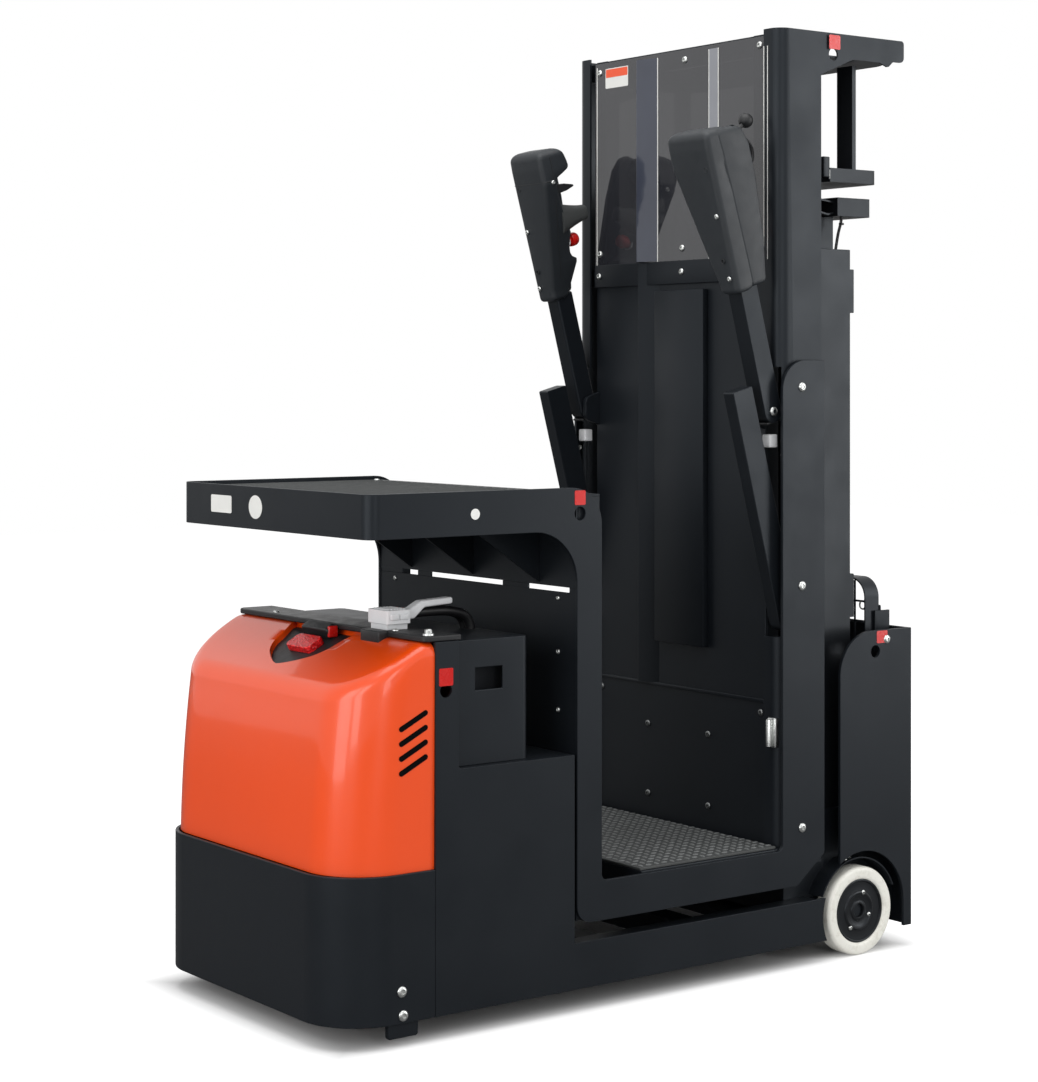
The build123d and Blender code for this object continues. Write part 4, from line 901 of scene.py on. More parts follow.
def cover():
    """All rows of the cover, from its foot to the middle of the recess."""
    base, ways = cover_plan(0.95)
    count = len(base)
    rear = np.arange(count) >= count - 38
    edge = np.where(rear, 0.0, EDGE_R)
    wall_top = cover_height(base[:, 0]) - edge
    for _ in range(3):
        wall_top = cover_height(cover_wall(wall_top)[:, 0]) - edge
    rows = []
    for share in np.linspace(0, 1, 15):
        height = COVER_LOW + (wall_top - COVER_LOW) * share
        rows.append(np.column_stack([cover_wall(height), height]))
    brow = cover_wall(wall_top)
    for angle in np.radians(np.linspace(10, 90, 9)):
        plan = brow + ways * (edge * (1 - math.cos(angle)))[:, None]
        rows.append(np.column_stack([plan, cover_height(plan[:, 0]) - edge * (1 - math.sin(angle))]))
    shoulder, pit = rows[-1][:, :2], recess_outline(count - 38)
    for share in np.linspace(0, 1, 9)[1:]:
        plan = shoulder * (1 - share) + pit * share
        rows.append(np.column_stack([plan, cover_height(plan[:, 0])]))
    rows += sunk(pit, [(0.992, 0.0006), (0.982, 0.0024), (0.972, 0.0095), (0.955, 0.0125), (0.93, 0.0135),
                       (0.80, 0.0140), (0.6, 0.0145), (0.4, 0.0150), (0.2, 0.0150), (0.02, 0.0150)])
    return grid(np.array(rows))


def vents():
    """Four slanted slots in each side, drawn as black inlays level with the cover: painted shade where the
    slots would open.
    """
    inlay = slab(card(-0.037, 0.037, -0.0055, 0.0055, 0.0054), -0.0025, 0.0025).turned("y", -26)
    places = [(-0.604, side * 0.3690, 0.637 - 0.029 * row) for row in range(4) for side in (-1, 1)]
    return inlay.copies(places)


shell = combined(mesh_of("orange_cover", cover()), thickness=0.004)
make("orange_cover", shell, orange, "chassis", replaces=("hood",))
make("vent_slots", vents(), vent_painted_shade, "chassis")


def lamp_tray():
    """Dark floor of the recess: its outline shrunk in steps towards the middle, with a rim turned down."""
    steps = [(0.945, 0.0150), (0.940, 0.0118), (0.7, 0.0122), (0.4, 0.0128), (0.02, 0.0130)]
    return grid(np.array(sunk(recess_outline(88), steps)))


make("lamp_tray", lamp_tray(), black_plastic, "chassis")

# %% [markdown]
# ## Lamp, plug and leads
# The plug is a grey block with grip ribs and a lever. Two thick leads leave it and end inside the battery
# box; each is one spline, so its length can be measured along the curve.

# %% Lamp, plug and leads
dressed("lamp_lens", red_lens, 0.0022, 3)
dressed("lamp_visor", black_plastic, 0.0045, 3)
dressed("battery_plug", grey_plastic, 0.0035, 3)
dressed("plug_lever", grey_plastic, 0.0045, 3)
LEAD_RADIUS = 0.0105
LEAD_NEAR, LEAD_FAR = -0.178, -0.156
LEAD_ROUTE = [(-0.516, 0.826), (-0.486, 0.826), (-0.440, 0.828), (-0.380, 0.826), (-0.334, 0.812),
              (-0.330, 0.785)]


def battery_lead(name, y, replaces=()):
    """Thick lead from the plug over the lid and down into the battery box, as one smooth spline."""
    curve = bpy.data.curves.new(name, "CURVE")
    curve.dimensions = "3D"
    curve.bevel_depth = LEAD_RADIUS
    curve.bevel_resolution = 5
    curve.use_fill_caps = True
    spline = curve.splines.new("NURBS")
    spline.points.add(len(LEAD_ROUTE) - 1)
    places = [value for x, z in LEAD_ROUTE for value in (x, y, z, 1.0)]
    spline.points.foreach_set("co", places)
    spline.order_u = 3
    spline.use_endpoint_u = True
    spline.resolution_u = 14
    curve.materials.append(cable_rubber)
    lead = bpy.data.objects.new(name, curve)
    bpy.context.scene.collection.objects.link(lead)
    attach(lead, "chassis")
    if replaces:
        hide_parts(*replaces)


battery_lead("battery_lead_outer", LEAD_NEAR, ("battery_cables",))
battery_lead("battery_lead_inner", LEAD_FAR)

PLUG_LOW, PLUG_HIGH = low("battery_plug"), high("battery_plug")


def plug_ribs():
    """Grip ribs across the top of the battery plug and two latches on its side."""
    rib = soft_block((-0.0022, -0.027, -0.001), (0.0022, 0.027, 0.0032), 0.0014)
    first, last = PLUG_LOW[0] + 0.010, PLUG_HIGH[0] - 0.010
    middle = (PLUG_LOW[1] + PLUG_HIGH[1]) / 2
    places = [(x, middle, PLUG_HIGH[2] - 0.001) for x in np.linspace(first, last, 6)]
    latch = soft_block((-0.010, -0.003, -0.006), (0.010, 0.0025, 0.006), 0.002)
    sides = [(x, PLUG_LOW[1], PLUG_HIGH[2] - 0.014) for x in (first + 0.008, last - 0.008)]
    return rib.copies(places) + latch.copies(sides)


make("plug_ribs", plug_ribs(), grey_plastic, "chassis")
collars = [tube([(-0.5165, y, 0.826), (-0.498, y, 0.8262)], [0.0125, 0.0122], 16)
           for y in (LEAD_NEAR, LEAD_FAR)]
make("plug_collars", collars[0] + collars[1], red_plastic, "chassis", bevel=0.0012)
seat = soft_block((-0.598, -0.236, 0.776), (-0.560, -0.168, 0.8005), 0.003)
make("plug_seat", seat, black_plastic, "chassis")
visor_end = soft_block((-0.601, -0.0535, 0.772), (-0.578, -0.046, 0.796), 0.003)
make("visor_end", visor_end, red_plastic, "chassis")
lid_knob = [(0, 0.006), (0.006, 0.006), (0.0085, 0.0045), (0.009, 0.002), (0.009, 0), (0, 0)]
make("lid_knob", lathe(lid_knob, 32).at(-0.466, -0.262, high("battery_box")[2]), zinc, "chassis")
print("nose made")

# %% [markdown]
# ## Platform
# The tray's mat has low ribs, the floor mat has rows of pointed studs that turn by a quarter from one to the
# next.

# %% Mats
def ribbed_mat():
    """Low ribs along the tray, each with rounded ends."""
    mat_low, mat_high = low("tray_mat"), high("tray_mat")
    start, stop = mat_low[0] + 0.012, mat_high[0] - 0.030
    rib = soft_block((start, -0.0028, -0.0012), (stop, 0.0028, 0.0014), 0.0012, 3)
    places = [(0, y, mat_high[2]) for y in np.linspace(mat_low[1] + 0.022, mat_high[1] - 0.022, 25)]
    return rib.copies(places)


make("tray_mat_ribs", ribbed_mat(), rubber, "carriage")
dressed("tray_mat", rubber, 0.0016)
dressed("floor_mat", rubber, 0.0018)


def studs():
    """Pointed studs on the floor mat: a lathe of eight sides, squeezed to half its width."""
    stud = lathe([(0.0084, -0.0006), (0.0078, 0.0011), (0.0050, 0.0019), (0, 0.0020)], 8)
    long_way = Form(stud.points * (1, 0.46, 1), stud.quads)
    short_way = Form(stud.points * (0.46, 1, 1), stud.quads)
    mat_low, mat_high = low("floor_mat"), high("floor_mat")
    x, y = np.meshgrid(np.arange(mat_low[0] + 0.014, mat_high[0] - 0.008, 0.0215),
                       np.arange(mat_low[1] + 0.016, mat_high[1] - 0.010, 0.0215), indexing="ij")
    even = (np.add.outer(np.arange(x.shape[0]), np.arange(x.shape[1])) % 2).astype(bool)
    places = np.stack([x, y, np.full(x.shape, mat_high[2])], -1)
    return long_way.copies(places[even]) + short_way.copies(places[~even])


make("floor_mat_studs", studs(), stud_rubber, "carriage")

# %% [markdown]
# ## Back wall
# The back wall is one sheet with a raised field and a long pressed fold. The window over it has folds of its
# own, drawn as a dark stripe of painted shade and a pale stripe of painted reflection; thin white strips along
# its edges and the frame's flange are painted highlights.

# %% Back wall
PANEL_X = low("back_panel")[0] + 0.009
WINDOW_X = low("window")[0]
FOLD_FOOT, WINDOW_TOP = 1.586, 2.066
sheet = soft_block((PANEL_X, *low("back_panel")[1:]), high("back_panel"), 0.0014, 2)
field = soft_block((PANEL_X - 0.0170, -0.1090, 0.6900), (PANEL_X + 0.0020, 0.0660, 1.5160), 0.0040, 3)
make("panel_sheet", sheet + field, black_paint, "carriage", replaces=("back_panel",))
repaint("window", window_glass)
FOLD = rounded([(0.066, 0.0, 0.0), (0.130, -0.0140, 0.003), (0.134, 0.0, 0.0)], 4)


def fold(x, low_z, high_z):
    """Pressed fold: a low wedge that stands from a sheet towards the nose."""
    outline = np.column_stack([FOLD[:, 0], FOLD[:, 1] + x])
    return slab(outline[:, ::-1], low_z, high_z, "z")


make("panel_fold", fold(PANEL_X, 0.590, 1.582), black_paint, "carriage")
# A darker and a paler copy of a glassy finish for the window's folds: painted shade on the dark stripe,
# painted reflection on the pale one.
painted_shade_glass = grained("window_dark_stripe_painted_shade", srgb(58, 62, 74), 0.10, 30.0, 0.0004, 0.6)
painted_reflection_glass = grained("window_pale_stripe_painted_reflection", srgb(132, 134, 140), 0.2, 30.0, 0.0004, 0.5)
make("window_dark_stripe_painted_shade", fold(WINDOW_X, FOLD_FOOT, WINDOW_TOP), painted_shade_glass, "carriage")
second = rounded([(-0.002, -0.148, 0.001), (0.0004, -0.148, 0), (0.0004, -0.118, 0), (-0.0008, -0.118, 0)])
second = slab(second + (WINDOW_X, 0), FOLD_FOOT, WINDOW_TOP, "z")
make("second_window_stripe_painted_reflection", second, painted_reflection_glass, "carriage")
# Thin white strips on the window's edges and on the frame's flange are painted highlights.
edge = soft_block((WINDOW_X - 0.0014, -0.0011, 1.560), (WINDOW_X + 0.0006, 0.0011, WINDOW_TOP), 0.0005, 2)
painted_edge_highlights = edge.copies([(0, 0.2945, 0), (0, 0.0655, 0), (0, -0.1180, 0), (0, -0.1500, 0)])
flange = soft_block((0.3762, -0.0010, 1.575), (0.3774, 0.0010, 2.050), 0.0004, 2)
painted_edge_highlights = painted_edge_highlights + flange.copies([(0, -0.3130, 0), (0, -0.3250, 0)])
make("window_edge_highlight_strips", painted_edge_highlights, white_plastic, "carriage")
lip = soft_block((PANEL_X - 0.0035, -0.300, 0.583), (PANEL_X + 0.001, 0.300, 0.591), 0.0015)
make("panel_lip", lip, black_paint, "carriage")

WINDOW_BOLTS = [(0.284, 2.052), (-0.290, 2.056), (-0.033, 2.051), (0.284, 1.611), (-0.023, 1.613),
                (-0.290, 1.611)]
PANEL_BOLTS = [(0.107, 0.490), (-0.109, 0.490), (0.107, 0.325), (-0.109, 0.325), (0.282, 0.560),
               (-0.288, 0.560)]
LAP_BOLTS = [(0.284, 1.557), (-0.024, 1.558), (-0.286, 1.557)]
heads("window_bolts", screw(0.0082, 0.0046), "-x", [(WINDOW_X, y, z) for y, z in WINDOW_BOLTS], "carriage")
lap = soft_block((WINDOW_X - 0.0030, -0.3025, 1.530), (WINDOW_X + 0.0045, 0.3025, 1.5845), 0.0014)
make("panel_lap", lap, black_paint, "carriage")
heads("lap_bolts", screw(0.0078, 0.0042), "-x", [(WINDOW_X - 0.003, y, z) for y, z in LAP_BOLTS], "carriage")
# The back wall's bolts take the darker zinc copy: painted shade.
heads("panel_bolts", screw(0.0078, 0.0042), "-x", [(PANEL_X, y, z) for y, z in PANEL_BOLTS], "carriage",
      zinc_in_painted_shade)
label = slab(card(0.176, 0.262, 2.012, 2.060, 0.003), WINDOW_X - 0.0006, WINDOW_X + 0.0002, "x")
make("window_label", label, white_plastic, "carriage")
band = slab(card(0.178, 0.260, 2.038, 2.058, 0.002), WINDOW_X - 0.0009, WINDOW_X - 0.0004, "x")
make("window_label_band", band, orange, "carriage")
print("platform made")

# %% [markdown]
# ## Mast
# A leaf chain is rows of plates with round ends. One path goes up, over the sheave and down, and each plate
# is turned to the path's direction at its place.

# %% Leaf chains
CHAIN_FRONT, CHAIN_BACK = 0.5387, 0.6113
SHEAVE_Z = 1.700
PITCH = 0.0127


def chain_path(foot_front, foot_back):
    """Places and headings along a chain: straight up, half a turn over the sheave, straight down."""
    radius = (CHAIN_BACK - CHAIN_FRONT) / 2
    centre = (CHAIN_FRONT + CHAIN_BACK) / 2
    rise, fall = SHEAVE_Z - foot_front, SHEAVE_Z - foot_back
    at = np.arange(PITCH / 2, rise + math.pi * radius + fall, PITCH)
    bend = np.clip((at - rise) / radius, 0, math.pi)
    x = centre - radius * np.cos(bend)
    z = np.where(at < rise, foot_front + at, SHEAVE_Z - np.maximum(at - rise - math.pi * radius, 0))
    return np.stack([x, z + radius * np.sin(bend)], -1), bend


def chain_links(side):
    """Five rows of plates side by side, every second row a pitch further."""
    half = PITCH / 2 + 0.0038
    oblong = card(-0.0040, 0.0040, -half, half, 0.0038, 3)
    places, bend = chain_path(0.320, 0.1325)
    parts = []
    for offset in np.linspace(-0.0066, 0.0066, 5):
        plate = slab(oblong, -0.0009, 0.0009, "y")
        shift = 0 if abs(offset) % 0.0066 < 0.001 else 1
        chosen = np.arange(shift, len(places), 2)
        cos, sin = np.cos(bend[chosen])[:, None], np.sin(bend[chosen])[:, None]
        x = plate.points[:, 0] * cos + plate.points[:, 2] * sin + places[chosen, 0][:, None]
        z = plate.points[:, 2] * cos - plate.points[:, 0] * sin + places[chosen, 1][:, None]
        y = np.broadcast_to(plate.points[:, 1] + side * 0.075 + offset, x.shape)
        shifts = np.arange(len(chosen)) * len(plate.points)
        quads = (shifts[:, None, None] + plate.quads[None]).reshape(-1, 4)
        caps = [[corner + int(move) for corner in cap] for move in shifts for cap in plate.caps]
        parts.append(Form(np.stack([x, y, z], -1), quads, caps))
    return sum(parts[1:], parts[0])


make("leaf_chains", chain_links(-1) + chain_links(1), chain_steel, "inner_stage",
     replaces=("lift_chains",))

# %% [markdown]
# ## Mast fittings
# The mast top is made of small things: the gland of the cylinder, chain anchors, a bent bracket beside the
# box on the middle stage, a pair of zinc bolts on a tab, and a thin cable in a tie.

# %% Fittings of the mast
CYLINDER_X = 0.584
gland = [(0.0212, 1.108), (0.0345, 1.108), (0.0360, 1.111), (0.0360, 1.126), (0.0345, 1.129),
         (0.0270, 1.130), (0.0262, 1.134), (0.0212, 1.134), (0.0212, 1.108)]
make("cylinder_gland", lathe(gland, 48).at(CYLINDER_X), mast_paint, "chassis")
collar = [(0.0325, 0.40), (0.0350, 0.401), (0.0350, 0.418), (0.0325, 0.419), (0.0325, 0.40)]
clamps = lathe(collar, 48).copies([(CYLINDER_X, 0, 0), (CYLINDER_X, 0, 0.42)])
make("cylinder_clamps", clamps, zinc, "chassis")


def anchor():
    """Threaded chain anchor with two nuts: the thread is a run of small rings."""
    z = np.arange(0, 0.070, 0.0012)
    radius = np.where(np.arange(len(z)) % 2, 0.0056, 0.0063)
    thread = lathe(np.vstack([[(0, 0)], np.stack([radius, z], -1), [(0, z[-1])]]), 16)
    nut = [(0.0063, 0), (0.0095, 0), (0.0100, 0.001), (0.0100, 0.0085), (0.0095, 0.0095), (0.0063, 0.0095)]
    nut = lathe(nut, 24, "z", [0, 0, 1, 1, 0, 0])
    return thread + nut.at(0, 0, 0.020) + nut.at(0, 0, 0.031)


anchors = anchor().copies([(0.5390, -0.075, 0.252), (0.5390, 0.075, 0.252)])
make("chain_anchors", anchors, zinc, "inner_stage")
tab = rounded([(0.530, 1.606, 0.004), (0.549, 1.606, 0.009), (0.549, 1.676, 0.009), (0.530, 1.676, 0.004)])
tabs = slab(tab, -0.270, -0.2635, "y")
make("stage_tabs", tabs.both(), mast_paint, "middle_stage", bevel=0.0008)
tab_bolts = [(0.5395, -0.270, z) for z in (1.628, 1.657)]
heads("tab_bolts_near", screw(0.0095, 0.0058), "-y", tab_bolts, "middle_stage")
heads("tab_bolts_far", screw(0.0095, 0.0058), "+y", [(x, -y, z) for x, y, z in tab_bolts], "middle_stage")
BRACES = [[(0.617, 1.690), (0.600, 1.686), (0.572, 1.691), (0.560, 1.678)],
          [(0.617, 1.714), (0.596, 1.717), (0.560, 1.722)]]
bent, upper = [strip([(x, -0.275, z) for x, z in route], (0, 0.012, 0), 0.004) for route in BRACES]
brace = bent + upper
make("box_brackets", brace.both(), mast_paint, "middle_stage")
block = soft_block((0.560, -0.314, 1.768), (0.5795, -0.286, 1.815), 0.002)
make("hanger_stops", block.both(), mast_paint, "inner_stage")
# A thin zinc strip on the edge of the top plate stands for a painted highlight.
mark = soft_block((0.5782, -0.3148, 1.764), (0.5806, -0.3100, 1.786), 0.0006, 2)
make("top_plate_highlight_strip", mark.both(), zinc, "inner_stage")
wires = [tube(smooth_path([(0.634, y, 1.683), (0.632, y - 0.001, 1.668), (0.622, y - 0.002, 1.640),
                           (0.616, y, 1.604)], 5), 0.0017, 8) for y in (-0.292, -0.297)]
tie = soft_block((0.630, -0.3005, 1.662), (0.638, -0.2895, 1.667), 0.001, 2)
make("sensor_wires", wires[0] + wires[1] + tie, cable_rubber, "chassis")
print("mast made")

# %% [markdown]
# ## Side guards
# A control pod is two moulded shells. Each is a stack of rounded rectangles along the pod, whose front, rear
# and inner limits change with the height. It is drawn upright, for the far side, and then leaned back by
# fifteen degrees about the guard's pivot. `t` runs towards the mast, `s` up along the guard.

# %% Pod surfaces
PIVOT_X, PIVOT_Z, LEAN = 0.370, 1.236, -15
MOULDED = math.radians(50)


def on_side(form, side):
    """A form drawn for the far side, on the side asked for."""
    return form if side == "far" else form.mirrored()


def leaned(form, side):
    """From the guard's own frame to the truck's, on the near or the far side."""
    return on_side(form.turned("y", LEAN).at(PIVOT_X, 0, PIVOT_Z), side)


def loft(rows, steps=5):
    """Stack of rounded rectangles: rows of height, rear and front limits, inner and outer limits, radius."""
    rows = np.asarray(rows, float)
    turn = np.radians(np.concatenate([np.linspace(0, 90, steps) + quarter for quarter in (0, 90, 180, 270)]))
    along = np.repeat([1, -1, -1, 1], steps)
    across = np.repeat([1, 1, -1, -1], steps)
    height, t0, t1, y0, y1, radius = (rows[:, k][:, None] for k in range(6))
    x = (t0 + t1) / 2 + along * ((t1 - t0) / 2 - radius) + radius * np.cos(turn)
    y = (y0 + y1) / 2 + across * ((y1 - y0) / 2 - radius) + radius * np.sin(turn)
    return grid(np.stack([x, y, height + 0 * x], -1), ends=True)


def profile(heights, knots):
    """Limits at many heights from a few measured ones."""
    knots = np.asarray(knots, float)
    return np.interp(heights, knots[:, 0], knots[:, 1])


def shell_rows(heights, rear, front, inner, outer, radius, top):
    """Rows of a shell, its last ones drawn in along a quarter circle so that the top is round."""
    start = heights[-1] - top
    inset = top - np.sqrt(np.clip(top ** 2 - np.clip(heights - start, 0, top) ** 2, 0, None))
    foot = np.clip(0.005 - (heights - heights[0]), 0, 0.005) * 0.8
    inset = np.minimum(inset, top * 0.82) + foot
    return np.column_stack([heights, profile(heights, rear) + inset, profile(heights, front) - inset,
                            profile(heights, inner) + inset, np.full(len(heights), outer) - inset * 0.9,
                            np.full(len(heights), radius)])


POD_FRONT = [(0.278, -0.042), (0.600, -0.046), (0.640, -0.044)]
POD_INNER = {"far": [(0.278, 0.302), (0.300, 0.300), (0.560, 0.240), (0.640, 0.239)],
             "near": [(0.278, 0.302), (0.300, 0.299), (0.560, 0.226), (0.640, 0.224)]}
BODY_REAR = [(0.278, 0.006), (0.302, 0.021), (0.330, 0.034), (0.358, 0.047), (0.366, 0.047), (0.374, 0.034),
             (0.384, 0.028), (0.402, 0.027), (0.433, 0.034), (0.470, 0.021), (0.504, 0.010), (0.540, 0.002),
             (0.564, 0.001), (0.571, 0.006), (0.579, 0.026), (0.587, 0.042), (0.594, 0.044), (0.606, 0.042),
             (0.622, 0.037), (0.640, 0.030)]
GUARD_REAR = [(0.283, 0.046), (0.294, 0.050), (0.381, 0.067), (0.517, 0.078), (0.590, 0.077), (0.622, 0.066),
              (0.640, 0.054)]
SEAM = [(0.283, 0.001), (0.340, 0.000), (0.500, -0.006), (0.590, -0.011), (0.640, -0.016)]


def pod(side):
    """Front shell, rear shell, seam lines, screws and screw wells of one control pod."""
    body = "arm_" + side
    closing = np.sin(np.radians(np.linspace(0, 90, 9)))
    heights = np.concatenate([np.arange(0.278, 0.616, 0.004), 0.620 + 0.0205 * closing])
    front = loft(shell_rows(heights, POD_FRONT, BODY_REAR, POD_INNER[side], 0.3608, 0.0125, 0.018))
    heights = np.concatenate([np.arange(0.284, 0.612, 0.004), 0.616 + 0.0215 * closing])
    rear = loft(shell_rows(heights, SEAM, GUARD_REAR, [(0.28, 0.336), (0.64, 0.336)], 0.3618, 0.0085, 0.016))
    make("pod_front_" + side, leaned(front, side), pod_plastic, body, sharp=MOULDED,
         replaces=("guard_pod_" + side,))
    make("pod_rear_" + side, leaned(rear, side), pod_plastic, body, sharp=MOULDED)
    line = (0.622, 0.572, 0.500, 0.420, 0.330)
    upright = tube([(-0.012, y, s) for y, s in zip(profile(line, POD_INNER[side]), line)], 0.0010, 6)
    across = [(-0.0452, 0.3540), (-0.0452, 0.2540), (-0.0430, 0.2440), (-0.0360, 0.2400), (-0.0100, 0.2390)]
    level = tube([(t, y, 0.5665) for t, y in across], 0.0009, 6)
    seams = upright + level if side == "far" else upright
    make("pod_seams_" + side, leaned(seams, side), black_plastic, body)
    places = [(-0.0450, 0.344, 0.452), (-0.0440, 0.344, 0.312)]
    screws = screw(0.0062, 0.0030).turned(*FACING["-x"]).copies(places)
    inner = float(profile([0.562], POD_INNER[side])[0])
    screws = screws + screw(0.0058, 0.0030).turned(*FACING["-y"]).at(-0.016, inner + 0.0004, 0.5620)
    make("pod_screws_" + side, leaned(screws, side), zinc, body)
    well = lathe([(0.0058, 0.0004), (0.0052, 0.0010), (0.0046, 0.0004), (0.0040, -0.004), (0, -0.004)], 20)
    wells = well.turned(*FACING["-x"]).copies([(-0.0452, 0.340, 0.556), (-0.0446, 0.336, 0.352)])
    make("pod_wells_" + side, leaned(wells, side), black_plastic, body)


# %% [markdown]
# ## Controls on the pods
# The controls stand behind the pod, on the mast's side: a horn shaped grip, a tapered thumb lever over it and
# a red stop button in its own notch. Only the near pod has the ball knob of the lift handle.

# %% Pod controls
def controls(side):
    """Grip, thumb lever and stop button of one pod."""
    body = "arm_" + side
    reach = np.linspace(0, 1, 12)
    half = 0.0185 + 0.0225 * (1 - reach) ** 1.4
    length = 0.004 + 0.086 * reach
    turn = np.radians([30, 60, 80])
    half = np.concatenate([half, 0.0185 * np.cos(turn)])
    length = np.concatenate([length, 0.090 + 0.0070 * np.sin(turn)])
    centre_s, centre_y, flat = 0.469, 0.284, half * 0.66
    horn = loft(np.column_stack([length, centre_s - half, centre_s + half, centre_y - flat, centre_y + flat,
                                 half * 0.65]))
    horn = Form(horn.points[:, [2, 1, 0]], horn.quads, horn.caps)
    make("grip_" + side, leaned(horn, side), rubber, body, sharp=MOULDED,
         replaces=("guard_grip_" + side,))
    paddle = rounded([(-0.008, 0.5310, 0.003), (0.028, 0.5340, 0.010), (0.0510, 0.5400, 0.0025),
                      (0.0500, 0.5445, 0.0025), (0.024, 0.5520, 0.010), (-0.008, 0.5560, 0.003)])
    make("thumb_lever_" + side, leaned(slab(paddle, 0.250, 0.272, "y"), side), black_plastic, body,
         bevel=0.0028)
    dome = [(0.0115, -0.018), (0.0115, 0.0), (0.0130, 0.0), (0.0160, 0.0004), (0.0166, 0.0040),
            (0.0166, 0.0120), (0.0158, 0.0165), (0.0135, 0.0205), (0.0095, 0.0235), (0.0050, 0.0248),
            (0, 0.0252)]
    button = lathe(dome, 36).turned(*FACING["+x"]).at(0.0370, 0.2945, 0.412)
    make("stop_dome_" + side, leaned(button, side), red_plastic, body,
         replaces=("stop_button_" + side,))
    ring = [(0.0118, -0.004), (0.0165, -0.004), (0.0170, 0.0), (0.0165, 0.0035), (0.0125, 0.0040),
            (0.0118, -0.004)]
    collar = lathe(ring, 36).turned(*FACING["+x"]).at(0.0240, 0.2945, 0.412)
    make("stop_collar_" + side, leaned(collar, side), grey_plastic, body)


for side in SIDES:
    pod(side)
    controls(side)
angle = np.radians(np.linspace(-90, 90, 15))
ball = [(0.0, -0.030), (0.0045, -0.030), (0.0045, -0.012)]
ball += [(0.0165 * math.cos(a), 0.0165 * math.sin(a)) for a in angle[2:-1]] + [(0, 0.0165)]
knob = lathe(ball, 32).turned("y", 62).at(0.131, 0.302, 0.634)
loop = [(0.070, 0.302, 0.604), (0.108, 0.302, 0.600), (0.126, 0.302, 0.585), (0.132, 0.302, 0.564),
        (0.124, 0.302, 0.543), (0.098, 0.302, 0.528), (0.070, 0.310, 0.520)]
stem = tube([(0.070, 0.302, 0.602), (0.106, 0.302, 0.620)], [0.0062, 0.0048], 16)
wire = tube(smooth_path(loop, 5), 0.0042, 10)
make("ball_knob_near", leaned(knob + stem + wire, "near"), black_plastic, "arm_near")

# %% [markdown]
# ## Guard ends
# The arm ends in a pin and a cap at its pivot. The switch that feels the guard, its screws and the latch
# stay on the carriage.

# %% Guard ends
OUTWARD = {"near": "-y", "far": "+y"}
for side, sign in SIDES.items():
    outward = OUTWARD[side]
    pivot = [(PIVOT_X, sign * 0.3525, PIVOT_Z)]
    heads("arm_pin_" + side, screw(0.0105, 0.0040), outward, pivot, "arm_" + side)
    cap = leaned(soft_block((-0.0235, 0.3100, -0.0262), (0.0235, 0.3500, -0.0205), 0.0025), side)
    make("arm_cap_" + side, cap, black_plastic, "arm_" + side)
    switch = soft_block((0.3665, 0.3180, 1.1560), (0.3900, 0.3440, 1.1850), 0.0030)
    make("guard_switch_" + side, on_side(switch, side), grey_plastic, "carriage")
    heads("guard_screws_" + side, screw(0.0055, 0.0030), outward,
          [(0.3865, sign * 0.3630, 1.140), (0.3930, sign * 0.3630, 0.837)], "carriage")
    latch = soft_block((0.3705, 0.3290, 0.4900), (0.3830, 0.3560, 0.5560), 0.0040)
    bolt = [(0, 0), (0.0060, 0), (0.0066, 0.0008), (0.0066, 0.0590), (0.0060, 0.0600), (0, 0.0600)]
    latch = latch + lathe(bolt, 24).at(0.3655, 0.3420, 0.4930)
    make("gate_latch_" + side, on_side(latch, side), zinc, "carriage")
print("guards made")

# %% [markdown]
# ## Bolts, labels and small fittings
# Every place below was read from the photo, on the plane of the plate that carries it. Labels stay blank.

# %% Bolts on the plates
LABEL_BACK, LABEL_FRONT = 0.0002, 0.0005
HOOK_LABELS = [("chassis", 0.685, 0.7185, 0.017, 0.0140), ("chassis", -0.529, 0.7180, 0.017, 0.0175),
               ("carriage", -0.192, 1.0630, 0.014, 0.0150)]


def hook_label(name, outline, face, sign, body):
    """Thin red square on an outer face."""
    form = slab(outline, face - sign * LABEL_BACK, face + sign * LABEL_FRONT, "y")
    make(name, form, red_plastic, body)


for side, sign in SIDES.items():
    outward = OUTWARD[side]
    face = sign * HALF_WIDTH
    uprights = [(0.435, face, z) for z in (1.290, 0.848, 0.310)]
    heads("upright_bolts_" + side, screw(0.0105, 0.0042), outward, uprights, "carriage")
    heads("tail_bolts_" + side, screw(0.0100, 0.0042), outward, [(0.700, face, 0.712)], "chassis")
    skid = [(-0.634, face, 0.111), (-0.631, face, 0.064)]
    heads("skid_bolts_" + side, screw(0.0110, 0.0045), outward, skid, "chassis")
    fender = [(0.589, sign * 0.352, 0.2165), (0.604, sign * 0.352, 0.2175)]
    heads("fender_bolts_" + side, screw(0.0060, 0.0034), "+z", fender, "chassis")
    inner = [(-0.197, sign * 0.307, z) for z in (0.851, 0.739, 0.618)]
    heads("panel_screws_" + side, screw(0.0055, 0.0030), "-x", inner, "carriage")
    for number, (body, x, z, half, tall) in enumerate(HOOK_LABELS):
        outline = card(x - half, x + half, z - tall, z + tall, 0.003)
        hook_label("hook_label_%d_%s" % (number, side), outline, face, sign, body)
    roof = card(0.526, 0.560, 2.051, 2.083, 0.003)
    hook_label("hook_label_roof_" + side, roof, sign * high("upright_frames")[1], sign, "carriage")

# %% [markdown]
# ## Labels on the tray
# The photo has a printed plate and an oval sticker on the tray's front and a disc on its near side. Here
# they are blank.

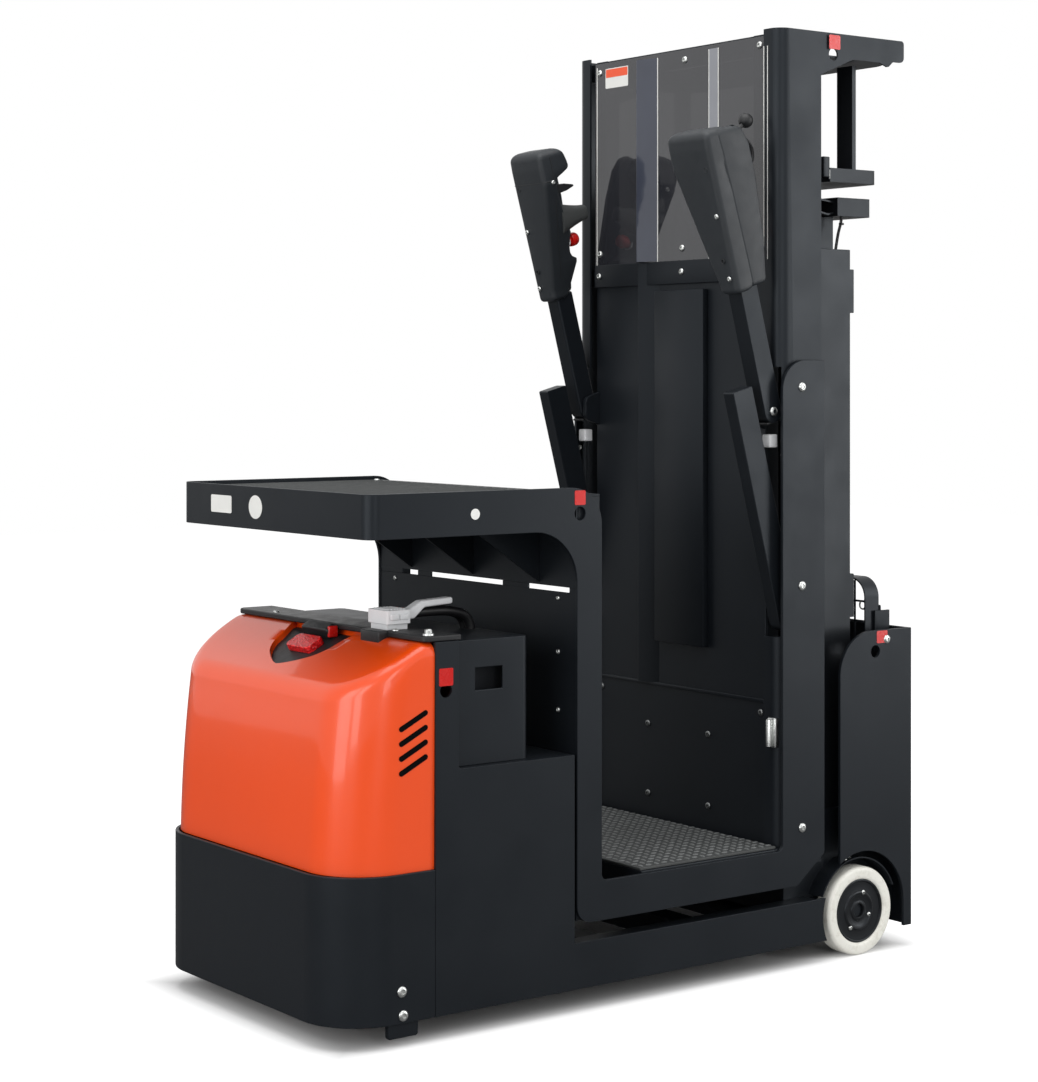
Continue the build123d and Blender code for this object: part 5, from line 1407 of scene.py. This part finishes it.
# %% Blank labels on the tray
back, front = TRAY_FRONT + 0.0002, TRAY_FRONT - 0.0006
plate = slab(card(0.156, 0.243, 1.024, 1.061, 0.004), front, back, "x")
make("tray_plate", plate, white_plastic, "carriage")
turn = np.radians(np.arange(0, 360, 10))
oval = np.stack([0.056 + 0.027 * np.cos(turn), 1.0415 + 0.0245 * np.sin(turn)], -1)
make("tray_oval", slab(oval, front, back, "x"), white_plastic, "carriage")
disc = np.stack([-0.458 + 0.011 * np.cos(turn), 1.038 + 0.011 * np.sin(turn)], -1)
make("tray_disc", slab(disc, -HALF_WIDTH - 0.0005, -HALF_WIDTH + 0.0002, "y"), white_plastic, "carriage")
heads("tray_bolt", screw(0.0065, 0.0035), "+z", [(-0.226, 0.340, high("tray_mat")[2])], "carriage")
deck_top = high("deck_plate")[2]
heads("deck_bolts", screw(0.0070, 0.0036), "+z", [(-0.556, y, deck_top) for y in (0.234, -0.234)], "chassis")
boss = [(0, 0.012), (0.0065, 0.012), (0.0078, 0.0105), (0.0078, 0.004), (0.0110, 0.003), (0.0115, 0), (0, 0)]
make("deck_boss", lathe(boss, 32).at(-0.552, -0.346, deck_top), zinc, "chassis")

# %% [markdown]
# ## Tail fittings
# A charging socket on a small shelf, and two plates that hold the hoop of the tail, one with an eyelet.

# %% Tail fittings
socket = soft_block((0.690, -0.186, 0.655), (0.7335, -0.148, 0.690), 0.004)
ribs = soft_block((0.6885, -0.1875, -0.0016), (0.7345, -0.1465, 0.0016), 0.0008, 2)
make("tail_connector", socket + ribs.copies([(0, 0, z) for z in (0.664, 0.672, 0.680)]), grey_plastic,
     "chassis")
shelf = soft_block((0.690, -0.312, 0.640), (0.7725, -0.120, 0.6555), 0.002)
make("connector_shelf", shelf, black_paint, "chassis")
tail_plate = slab(card(-0.319, -0.276, 0.744, 0.784, 0.004), 0.7345, 0.7385, "x")
make("hoop_plates", tail_plate.both(), mast_paint, "chassis", bevel=0.0008)
heads("hoop_bolts", screw(0.0110, 0.0060), "-x", [(0.7345, y, 0.760) for y in (-0.299, 0.299)], "chassis")
turn = np.radians(np.arange(0, 360, 15))
eye = np.stack([0.7325 + 0 * turn, -0.2650 + 0.0095 * np.cos(turn), 0.7800 + 0.0095 * np.sin(turn)], -1)
ring = tube(np.vstack([eye, eye[:1]]), 0.0022, 8)
make("hoop_eyelet", ring, zinc, "chassis")
print("fixings made")

# %% [markdown]
# ## Nodes without a finish
# Every CAD node left without a material is printed by name.

# %% Finish
for node, painted in frame["nodes"].items():
    if not painted.data.materials or painted.data.materials[0] is None:
        print("no finish:", node)
